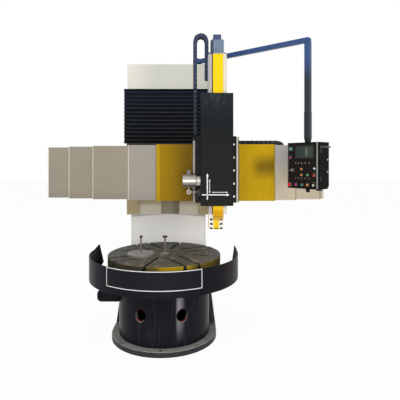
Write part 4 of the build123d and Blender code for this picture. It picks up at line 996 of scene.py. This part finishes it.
def build_chains():
    """The head's chain and the one above the crossrail's covers, each a fixed loop and a free run."""
    pitch = 0.044
    hoses = ((-0.30, 0.0095), (-0.02, 0.0085), (0.27, 0.0105))
    bright_metal("pin_steel", tone(84, 88, 112), 0.45, 0.2)
    plastic("hose_black", tone(24, 25, 28), 0.5)
    plastic("hose_grey", tone(96, 98, 112), 0.5)

    loop_low, loop_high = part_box("z_chain_loop")
    drop_low, drop_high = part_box("z_chain_drop")
    height = drop_high.x - drop_low.x
    width, middle = loop_high.y - loop_low.y, (loop_high.y + loop_low.y) / 2
    left, right = loop_low.x + height / 2, loop_high.x - height / 2
    radius = (right - left) / 2
    top = loop_high.z - height / 2 - radius
    joints = run_joints((left, loop_low.z), (left, top), pitch)
    joints += bend_joints(((left + right) / 2, top), radius, 180, 0, 4)
    piece = link_chain("z_chain_links", joints, width, middle, height, hoses)
    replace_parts(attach(piece, "saddle"), "z_chain_loop")
    joints = run_joints((right, drop_high.z), (right, drop_low.z), pitch)
    piece = link_chain("z_chain_free_links", joints, width, middle, height, hoses)
    drop_high.z
    drop_low.z
    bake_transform(piece)
    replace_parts(piece, "z_chain_drop")

    loop_low, loop_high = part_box("x_chain_loop")
    run_low, run_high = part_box("x_chain_upper")
    height = run_high.z - run_low.z
    width, middle = loop_high.y - loop_low.y, (loop_high.y + loop_low.y) / 2
    low, high = loop_low.z + height / 2, loop_high.z - height / 2
    radius = (high - low) / 2
    bend_x = loop_high.x - height / 2 - radius
    hoses = ((-0.18, 0.0095), (0.18, 0.0085))
    joints = run_joints((loop_low.x, low), (bend_x, low), pitch)
    joints += bend_joints((bend_x, (low + high) / 2), radius, -90, 90, 4)
    piece = link_chain("x_chain_links", joints, width, middle, height, hoses)
    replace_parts(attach(piece, "crossrail"), "x_chain_loop")
    parity = (len(joints) - 1) % 2
    joints = run_joints((run_high.x, high), (run_low.x, high), pitch)
    piece = link_chain("x_chain_free_links", joints, width, middle, height, hoses, parity)
    run_high.x
    run_low.x
    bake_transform(piece)
    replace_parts(piece, "x_chain_upper")


# Sign plate on the guard


def arc_band(shape, first, last, inside, outside, low, high, material):
    """A strip bent round the table's axis, between two angles in degrees right of the front."""
    count = max(1, round((last - first) / 1.5))
    rings = []
    for k in range(count + 1):
        turn = radians(first + (last - first) * k / count)
        across = [(inside, low), (outside, low), (outside, high), (inside, high)]
        rings.append([(r * sin(turn), -r * cos(turn), z) for r, z in across])
    shape.solid(rings, material)


def build_sign():
    """The plate on the guard's front, with its white border."""
    low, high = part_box("guard_front")
    wall = -low.y
    first, last, foot, top = -38.8, 30.1, high.z - 0.149, high.z - 0.0015
    line = bpy.context.scene.lathe_sizes.border_width
    around = line / wall * 180 / pi
    enamel("sign_enamel", tone(25, 26, 31))
    plastic("sign_white", tone(206, 208, 206), 0.4, specular=0.1)
    shape = Shape()
    arc_band(shape, first, last, wall - 0.002, wall + 0.0003, foot, top, 0)
    inside, outside = wall - 0.001, wall + 0.0005
    arc_band(shape, first, last, inside, outside, foot, foot + line, 1)
    arc_band(shape, first, last, inside, outside, top - line, top, 1)
    arc_band(shape, first, first + around, inside, outside, foot + line, top - line, 1)
    arc_band(shape, last - around, last, inside, outside, foot + line, top - line, 1)
    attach(shape.finish("guard_sign", "guard_blue", "sign_enamel", "sign_white"), "frame")


# Cover seams


def build_seams():
    """The folded edge at the outer end of each crossrail cover, paler as a painted highlight at the left
    covers and darker as a painted shade at the right covers.
    """
    width = bpy.context.scene.lathe_sizes.seam_width
    proud, sunk = 0.0006, 0.001
    # The left covers' folds are painted as lit and the right covers' folds as shaded.
    brushed("seam_bright", tone(196, 188, 172), 0.1, specular=0.1)
    brushed("seam_dull", tone(142, 122, 92), 0.1, specular=0.1)
    brushed("seam_gold", tone(150, 118, 30), 0.0, specular=0.05)
    for name, side, body, slot_name, finish in (
            ("saddle_covers", "left", "saddle", "cover_yellow", "seam_gold"),
            ("saddle_covers", "right", "saddle", "cover_yellow", "seam_gold"),
            ("cover_left_2", "left", "cover_left_2", "cover_steel", "seam_bright"),
            ("cover_left_3", "left", "cover_left_3", "cover_steel", "seam_bright"),
            ("cover_left_4", "left", "cover_left_4", "cover_steel", "seam_bright"),
            ("cover_right_2", "right", "cover_right_2", "cover_steel", "seam_dull"),
            ("cover_right_3", "right", "cover_right_3", "cover_steel", "seam_dull")):
        low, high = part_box(name)
        x = low.x if side == "left" else high.x - width
        shape = Shape()
        front, foot, top = low.y + sunk, low.z + sunk, high.z - sunk
        section = [(low.y - proud, low.z - proud), (high.y, low.z - proud), (high.y, foot), (front, foot),
                   (front, top), (high.y, top), (high.y, high.z + proud), (low.y - proud, high.z + proud)]
        shape.solid([[(place, y, z) for y, z in section] for place in (x, x + width)])
        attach(shape.finish(f"{name}_seam_{side}", slot_name, finish), body)


# Head


def arrow(shape, start, end, depth, both=False):
    """A flat arrow on a face that looks forward; start and end hold X and Z."""
    sizes = bpy.context.scene.lathe_sizes
    half, head = sizes.arrow_width / 2, sizes.arrow_head / 2
    length = sizes.arrow_head
    if both:
        half, head, length = half * 0.45, head * 0.6, length * 0.6
    start, end = Vector(start), Vector(end)
    along = (end - start).normalized()
    across = Vector((-along.y, along.x))
    neck = end - along * length
    tail = start + along * length if both else start
    outline = [tail - across * half, neck - across * half, neck - across * head, end, neck + across * head,
               neck + across * half, tail + across * half]
    if both:
        outline += [tail + across * head, start, tail - across * head]
    shape.plate([(p.x, p.y) for p in outline], depth - 0.0005, depth + 0.0005)


def build_head_marks():
    """White axis arrows on the head's cover."""
    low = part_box("head_cover")[0]
    plastic("mark_white", tone(220, 222, 218), 0.4, specular=0.1)
    front, left, foot = low.y, low.x, low.z
    shape = Shape()
    arrow(shape, (left + 0.058, foot + 0.056), (left + 0.058, foot + 0.282), front)
    arrow(shape, (left + 0.011, foot + 0.097), (left + 0.250, foot + 0.097), front)
    arrow(shape, (left + 0.0785, foot + 0.113), (left + 0.0785, foot + 0.231), front, both=True)
    arrow(shape, (left + 0.099, foot + 0.119), (left + 0.238, foot + 0.119), front, both=True)
    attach(shape.finish("axis_arrows", "graphite_paint", "mark_white"), "saddle")


def build_head_fittings():
    """Screws on the head and the saddle, the block above the drum and dark strips at the wipers' edges, the
    right one a painted shadow.
    """
    radius = bpy.context.scene.lathe_sizes.screw_radius
    bright_metal("screw_black", tone(42, 44, 48), 0.35, 0.5)
    bright_metal("screw_bright", tone(214, 212, 206), 0.25, 0.6)
    low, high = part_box("head_cover")
    inset, rows = 0.020, 6
    step = (high.z - low.z - 2 * inset) / (rows - 1)
    places = [(x, low.y, low.z + inset + step * k)
              for x in (low.x + inset, high.x - inset) for k in range(rows)]
    screws("head_screws", "saddle", "graphite_paint", "head_paint", 0.005, places, (0, -1, 0))

    low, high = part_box("saddle_plate")
    head_low, head_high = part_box("head_casting")
    wiper_low, wiper_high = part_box("saddle_wipers")
    # Heights of the right-hand row of screws, read from the photograph
    heights = (1.700, 1.580, 1.460, 1.340, 1.222)
    right = (head_high.x + high.x) / 2
    left = (head_low.x + low.x) / 2
    screws("saddle_screws_right", "saddle", "polished_steel", "screw_bright", radius,
           [(right, low.y, z) for z in heights], (0, -1, 0))
    screws("saddle_screws_left", "saddle", "graphite_paint", "screw_black", radius,
           [(left, low.y, z) for z in (heights[0], heights[1], heights[-1])], (0, -1, 0))

    # Dark strips at the wipers' outer edges; the one at the right wiper is a painted shadow.
    shape = Shape()
    shape.box((wiper_high.x - 0.007, wiper_low.y - 0.0006, wiper_low.z + 0.004),
              (wiper_high.x - 0.0005, wiper_low.y + 0.002, wiper_high.z - 0.004))
    shape.box((wiper_low.x + 0.0005, wiper_low.y - 0.0006, wiper_low.z + 0.004),
              (wiper_low.x + 0.005, wiper_low.y + 0.002, wiper_high.z - 0.004))
    plastic("wiper_rubber", tone(34, 33, 32), 0.6)
    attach(shape.finish("wiper_lips", "wiper_strip", "wiper_rubber"), "saddle")

    drum_low, drum_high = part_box("side_drum")
    shape = Shape()
    shape.box((drum_low.x + 0.038, (drum_low.y + low.y) / 2 - 0.028, drum_high.z - 0.004),
              (drum_low.x + 0.071, (drum_low.y + low.y) / 2 + 0.020, drum_high.z + 0.043))
    paint("block_grey", tone(118, 116, 112), 0.45, 0.2)
    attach(shape.finish("drum_block", "polished_steel", "block_grey", edge=0.002), "saddle")


# Screws elsewhere


def build_screws():
    """Cap screws of the rear cover, end plates, drive's lid and arm's foot, and the guard's joints."""
    low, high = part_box("rear_cover")
    inset = 0.025
    rows = [low.z + inset + (high.z - low.z - 2 * inset) * k / 6 for k in range(7)]
    places = [(x, high.y, z) for x in (low.x + inset, high.x - inset) for z in rows]
    places += [(0, high.y, rows[0]), (0, high.y, rows[-1])]
    screws("rear_cover_screws", "frame", "machine_white", "screw_bright", 0.008, places, (0, 1, 0))

    low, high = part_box("crossrail_end_plates")
    middle = (low.z + high.z) / 2
    for name, x, out in (("end_plate_screws_left", low.x, -1), ("end_plate_screws_right", high.x, 1)):
        places = [(x, low.y + back, middle + up) for back in (0.040, 0.190) for up in (-0.170, 0, 0.150)]
        screws(name, "crossrail", "machine_white", "screw_black", 0.008, places, (out, 0, 0))

    low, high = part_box("belt_housing")
    places = [(low.x + along, low.y, z) for along in (0.05, 0.21) for z in (low.z + 0.016, high.z - 0.016)]
    screws("drive_lid_screws", "frame", "base_blue", "screw_black", 0.007, places, (0, -1, 0))

    low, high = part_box("guard_front")
    wall = -low.y
    foot, top = low.z + 0.002, high.z - 0.002
    shape = Shape()
    for middle in (-50, 50):
        arc_band(shape, middle - 0.12, middle + 0.12, wall - 0.001, wall + 0.0012, foot, top, 0)
    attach(shape.finish("guard_joints", "guard_blue", "guard_enamel"), "frame")

    low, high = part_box("arm_pivot_post")
    x, y = (low.x + high.x) / 2, (low.y + high.y) / 2
    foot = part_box("column_crown")[1].z + 0.017
    circle = 0.034
    turns = [radians(degrees) for degrees in (45, 135, 225, 315)]
    places = [(x + circle * cos(t), y + circle * sin(t), foot) for t in turns]
    screws("pivot_screws", "frame", "graphite_paint", "screw_black", 0.0045, places, (0, 0, 1))


# Pendant

# In millimetres: across the panel from its middle, height above its foot, radius, reach; form and colour
BUTTONS = (
    (-113, 339, 15, 20, "knob", (22, 118, 112)), (-124, 265, 10, 9, "button", (196, 38, 120)),
    (-102, 156, 13, 16, "key", (92, 92, 88)), (-6, 166, 9, 8, "button", (232, 128, 30)),
    (-6, 116, 9, 8, "button", (232, 120, 28)), (57, 117, 9, 8, "button", (40, 168, 70)),
    (122, 115, 9, 8, "button", (214, 36, 30)), (126, 172, 9, 8, "button", (210, 208, 200)),
    (-128, 30, 15, 22, "mushroom", (206, 26, 24)), (-64, 32, 10, 9, "button", (190, 40, 116)),
    (0, 33, 10, 9, "button", (26, 132, 128)), (57, 35, 10, 9, "button", (230, 124, 30)),
    (117, 34, 10, 12, "knob", (168, 170, 166)),
)

# Each form's outline: shares of the radius and of the reach
FORMS = {
    "mushroom": ((0.5, 0), (0.5, 0.45), (1.05, 0.55), (1.1, 0.75), (0.85, 0.95), (0.3, 1)),
    "knob": ((0.96, 0), (0.90, 0.75), (0.75, 0.92), (0.3, 0.94)),
    "key": ((0.95, 0), (0.95, 0.6), (0.8, 0.7), (0.3, 0.7)),
    "button": ((0.94, 0), (0.94, 0.7), (0.8, 0.92), (0.45, 1), (0.15, 1)),
}

# The bar on a form: shares of the radius for its half width and half length, share of the reach at its foot,
# and colour
BARS = {"knob": (0.12, 0.85, 0.90, (226, 224, 214)), "key": (0.1, 0.5, 0.65, (200, 198, 190))}

LABEL_COLUMNS = (-66, -36, -3, 33, 72)

# Small plates on the panel, in millimetres: middle across, middle up, width and height; colour
LABELS = (
    (-113, 288, 26, 6, (44, 74, 58)), (121, 137, 26, 6, (44, 84, 60)), (121, 57, 26, 6, (78, 80, 48)),
    *((across, 217, 6, 12, (150, 150, 142)) for across in LABEL_COLUMNS),
    *((across, 88, 6, 12, (126, 126, 120)) for across in LABEL_COLUMNS),
    (-134, 152, 22, 3, (158, 158, 150)),
)


def pendant_place():
    """A place at the foot of the panel's face: X along it, Y up and Z out of it."""
    # Turn at rest, how far the face lies before the pendant's axis, and how far it reaches below the panel
    turn, depth, drop = radians(53), 0.078, 0.009
    neck_low, neck_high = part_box("pendant_neck")
    panel_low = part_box("pendant_panel")[0]
    along, out = Vector((cos(turn), -sin(turn), 0)), Vector((-sin(turn), -cos(turn), 0))
    middle = (neck_low + neck_high) / 2 + out * depth
    return Matrix((
        (along.x, 0, out.x, middle.x), (along.y, 0, out.y, middle.y), (0, 1, 0, panel_low.z - drop),
        (0, 0, 0, 1)))


def panel_colour(names, colour, roughness=0.3):
    """The number of a colour among a piece's materials; its plastic is made on the first call."""
    name = "panel_%02x%02x%02x" % colour
    if name not in names:
        names.append(name)
        plastic(name, tone(*colour), roughness, specular=0.3)
    return names.index(name)


def build_buttons(face):
    """Knobs, lit buttons and the key switch, each in a steel ring."""
    bright_metal("ring_steel", tone(96, 98, 100), 0.3, 0.6)
    names = ["ring_steel"]
    # Height at which a form starts inside its ring
    sunk = 0.001
    shape = Shape()
    for across, lift, radius, reach, form, colour in BUTTONS:
        r, h = radius / 1000, reach / 1000
        shape.place = face @ Matrix.Translation((across / 1000, lift / 1000, 0))
        shape.turned(((r + 0.004, -0.001), (r + 0.004, 0.003), (r + 0.002, 0.0045), (r, 0.0045), (r, sunk)))
        number = panel_colour(names, colour)
        shape.turned([(r * out, max(h * up, sunk)) for out, up in FORMS[form]], number)
        if form in BARS:
            wide, long, foot, bar_colour = BARS[form]
            number = panel_colour(names, bar_colour)
            shape.box((-r * wide, -r * long, h * foot), (r * wide, r * long, h), number)
    controls = shape.finish("pendant_buttons", "button_plastic", *names)
    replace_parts(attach(controls, "pendant"), "pendant_controls")


def build_labels(face):
    """Label plates on the panel and light strips at its right and left edges."""
    plastic("trim_grey", tone(136, 137, 134), 0.4, specular=0.1)
    names = ["trim_grey"]
    shape = Shape()
    shape.place = face
    for across, lift, width, height, colour in LABELS:
        shape.box(((across - width / 2) / 1000, (lift - height / 2) / 1000, -0.001),
                  ((across + width / 2) / 1000, (lift + height / 2) / 1000, 0.0008),
                  panel_colour(names, colour, 0.45))
    shape.box((0.146, 0.004, -0.004), (0.157, 0.388, 0.0006))
    shape.box((-0.1500, 0.012, -0.001), (-0.1480, 0.380, 0.0004))
    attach(shape.finish("pendant_labels", "panel_paint", *names), "pendant")


def build_screen_frame(face):
    """The frame round the screen."""
    # Its inner edges, and its width
    left, right, low, high, width = -0.062, 0.114, 0.262, 0.360, 0.009
    shape = Shape()
    shape.place = face
    rings = []
    for grow, lift in ((0, 0), (0, 0.003), (width * 0.4, 0.005), (width, 0.005), (width, 0)):
        rings.append([(left - grow, low - grow, lift), (right + grow, low - grow, lift),
                      (right + grow, high + grow, lift), (left - grow, high + grow, lift)])
    shape.solid(rings, closed=True)
    plastic("screen_rim", tone(30, 29, 28), 0.4)
    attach(shape.finish("screen_frame", "panel_paint", "screen_rim", edge=0.0008), "pendant")


def build_door_fittings(face):
    """Hinges and latches of the side door, the foot at the lower corner and the handle's collars."""
    shape = Shape()
    side = face @ Matrix.Translation((0.164, 0, -0.078))
    for lift in (0.07, 0.30):
        shape.place = side
        shape.box((-0.001, lift, 0.046), (0.006, lift + 0.034, 0.060))
    for lift in (0.245, 0.145):
        shape.place = side @ Matrix.Translation((0, lift, -0.044)) @ Matrix.Rotation(pi / 2, 4, "Y")
        shape.turned(((0.009, -0.001), (0.009, 0.004), (0.007, 0.006), (0.002, 0.006)), 1)
    shape.place = Matrix.Translation(face @ Vector((0.142, 0, -0.040)))
    shape.turned(((0.024, 0.001), (0.024, -0.009), (0.0215, -0.011), (0.0215, -0.012), (0.016, -0.012)))
    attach(shape.finish("pendant_fittings", "pendant_paint", "screw_black", "trim_grey"), "pendant")

    shape = Shape()
    for along in (-0.042, 0.042):
        shape.place = side @ Matrix.Translation((0, 0.350, along)) @ Matrix.Rotation(pi / 2, 4, "Y")
        shape.turned(((0.011, -0.001), (0.011, 0.0025), (0.0085, 0.004), (0.0068, 0.004)))
    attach(shape.finish("handle_collars", "handle_plastic", "handle_plastic"), "pendant")


# Stage


def build_stage():
    """Floor, lamps, world and the camera at the photograph's place."""
    scene = bpy.context.scene
    reach, floor_glow, sky_light = 30.0, 0.95, 0.62
    floor_mesh = bpy.data.meshes.new("floor")
    floor_mesh.from_pydata([(-reach, -reach, 0), (reach, -reach, 0), (reach, reach, 0), (-reach, reach, 0)],
                           [], [(0, 1, 2, 3)])
    floor = bpy.data.objects.new("floor", floor_mesh)
    scene.collection.objects.link(floor)
    s = Shader("floor_white")
    # Seen directly the floor is near white; scattered light meets it as plain grey
    shaded = s.node("ShaderNodeBsdfPrincipled", inputs={
        "Base Color": (0.86, 0.86, 0.86, 1), "Roughness": 0.9, "Specular IOR Level": 0.0})
    glow = s.node("ShaderNodeEmission", inputs={"Color": (1, 1, 1, 1), "Strength": 1.0})
    mixed = s.node("ShaderNodeMixShader", inputs={0: s.seen() * floor_glow, 1: shaded, 2: glow})
    s.node("ShaderNodeOutputMaterial", inputs={0: mixed})
    floor_mesh.materials.append(s.owner)

    world = bpy.data.worlds.new("studio")
    s = Shader("studio", world)
    light = s.node("ShaderNodeBackground", inputs={"Color": (1, 1, 1, 1), "Strength": sky_light})
    white = s.node("ShaderNodeBackground", inputs={"Color": (1, 1, 1, 1), "Strength": 1.0})
    mixed = s.node("ShaderNodeMixShader", inputs={0: s.seen(), 1: light, 2: white})
    s.node("ShaderNodeOutputWorld", inputs={0: mixed})
    scene.world = world

    # Place, aim, power and size of each lamp
    for name, place, target, power, size in (
            ("key", (-2.6, -4.2, 4.2), (0, 0, 1.2), 120, (2.4, 2.4)),
            ("fill", (3.8, -3.0, 3.0), (0.2, 0, 1.2), 60, (2.0, 2.6)),
            ("low", (0.3, -4.4, 0.7), (0, 0.3, 0.9), 42, (2.6, 0.8)),
            ("top", (0.5, 0.5, 5.6), (0.3, 0.2, 0), 50, (3.0, 3.0))):
        data = bpy.data.lights.new(name, "AREA")
        data.shape = "RECTANGLE"
        data.size, data.size_y = size
        data.energy = power
        lamp = bpy.data.objects.new(name, data)
        lamp.location = place
        lamp.rotation_euler = (Vector(target) - Vector(place)).to_track_quat("-Z", "Y").to_euler()
        lamp.visible_camera = False
        scene.collection.objects.link(lamp)

    data = bpy.data.cameras.new("camera")
    data.sensor_width = 36
    data.lens = CAMERA_LENS
    data.shift_x, data.shift_y = CAMERA_SHIFT
    camera = bpy.data.objects.new("camera", data)
    camera.location = CAMERA_PLACE
    camera.rotation_euler = (radians(90), 0, 0)
    scene.collection.objects.link(camera)
    scene.camera = camera
    scene.view_settings.view_transform = "Standard"


# Operators


class LATHE_OT_finishes(bpy.types.Operator):
    """Coat the solids with their paints and metals and soften their edges"""

    bl_idname = "lathe.finishes"
    bl_label = "Finishes"

    def execute(self, context):
        coat_nodes()
        for name, width in SOFT_EDGES.items():
            soften(name, width)
        return {"FINISHED"}


class LATHE_OT_bellows(bpy.types.Operator):
    """Replace the bellows' solid with pleated cloth"""

    bl_idname = "lathe.bellows"
    bl_label = "Bellows"

    def execute(self, context):
        build_bellows()
        return {"FINISHED"}


class LATHE_OT_chains(bpy.types.Operator):
    """Replace the chains' solids with links, pins and hoses"""

    bl_idname = "lathe.chains"
    bl_label = "Cable Chains"

    def execute(self, context):
        build_chains()
        return {"FINISHED"}


class LATHE_OT_sign(bpy.types.Operator):
    """Add the sign plate on the guard"""

    bl_idname = "lathe.sign"
    bl_label = "Sign Plate"

    def execute(self, context):
        build_sign()
        return {"FINISHED"}


class LATHE_OT_seams(bpy.types.Operator):
    """Add the folded edges at the covers' ends"""

    bl_idname = "lathe.seams"
    bl_label = "Cover Seams"

    def execute(self, context):
        build_seams()
        return {"FINISHED"}


class LATHE_OT_head(bpy.types.Operator):
    """Add the head's axis arrows, screws and small fittings"""

    bl_idname = "lathe.head"
    bl_label = "Head Details"

    def execute(self, context):
        build_head_marks()
        build_head_fittings()
        return {"FINISHED"}


class LATHE_OT_screws(bpy.types.Operator):
    """Add the screws of the covers and the arm, and the joints of the guard"""

    bl_idname = "lathe.screws"
    bl_label = "Screws"

    def execute(self, context):
        build_screws()
        return {"FINISHED"}


class LATHE_OT_pendant(bpy.types.Operator):
    """Add the pendant's knobs, buttons, label plates and trim"""

    bl_idname = "lathe.pendant"
    bl_label = "Pendant Details"

    def execute(self, context):
        face = pendant_place()
        build_buttons(face)
        build_labels(face)
        build_screen_frame(face)
        build_door_fittings(face)
        return {"FINISHED"}


class LATHE_OT_stage(bpy.types.Operator):
    """Add the floor, the lamps and the camera"""

    bl_idname = "lathe.stage"
    bl_label = "Stage"

    def execute(self, context):
        build_stage()
        return {"FINISHED"}


OPERATORS = (LATHE_OT_finishes, LATHE_OT_bellows, LATHE_OT_chains, LATHE_OT_sign, LATHE_OT_seams,
             LATHE_OT_head, LATHE_OT_screws, LATHE_OT_pendant, LATHE_OT_stage)


class LATHE_PT_sidebar(bpy.types.Panel):
    """Lists the steps and the values"""

    bl_idname = "LATHE_PT_sidebar"
    bl_label = "Vertical Lathe"
    bl_space_type = "VIEW_3D"
    bl_region_type = "UI"
    bl_category = "Lathe"

    def draw(self, context):
        for operator in OPERATORS:
            self.layout.operator(operator.bl_idname)
        for group in (context.scene.lathe_colours, context.scene.lathe_sizes):
            for name in group.__annotations__:
                self.layout.prop(group, name)


CLASSES = (LatheColours, LatheSizes, *OPERATORS, LATHE_PT_sidebar)


def register():
    for item in CLASSES:
        bpy.utils.register_class(item)
    bpy.types.Scene.lathe_colours = PointerProperty(type=LatheColours)
    bpy.types.Scene.lathe_sizes = PointerProperty(type=LatheSizes)


def unregister():
    del bpy.types.Scene.lathe_sizes
    del bpy.types.Scene.lathe_colours
    for item in reversed(CLASSES):
        bpy.utils.unregister_class(item)


def main():
    register()
    bpy.ops.lathe.finishes()
    bpy.ops.lathe.bellows()
    bpy.ops.lathe.chains()
    bpy.ops.lathe.sign()
    bpy.ops.lathe.seams()
    bpy.ops.lathe.head()
    bpy.ops.lathe.screws()
    bpy.ops.lathe.pendant()
    bpy.ops.lathe.stage()


if __name__ == "__main__":
    main()
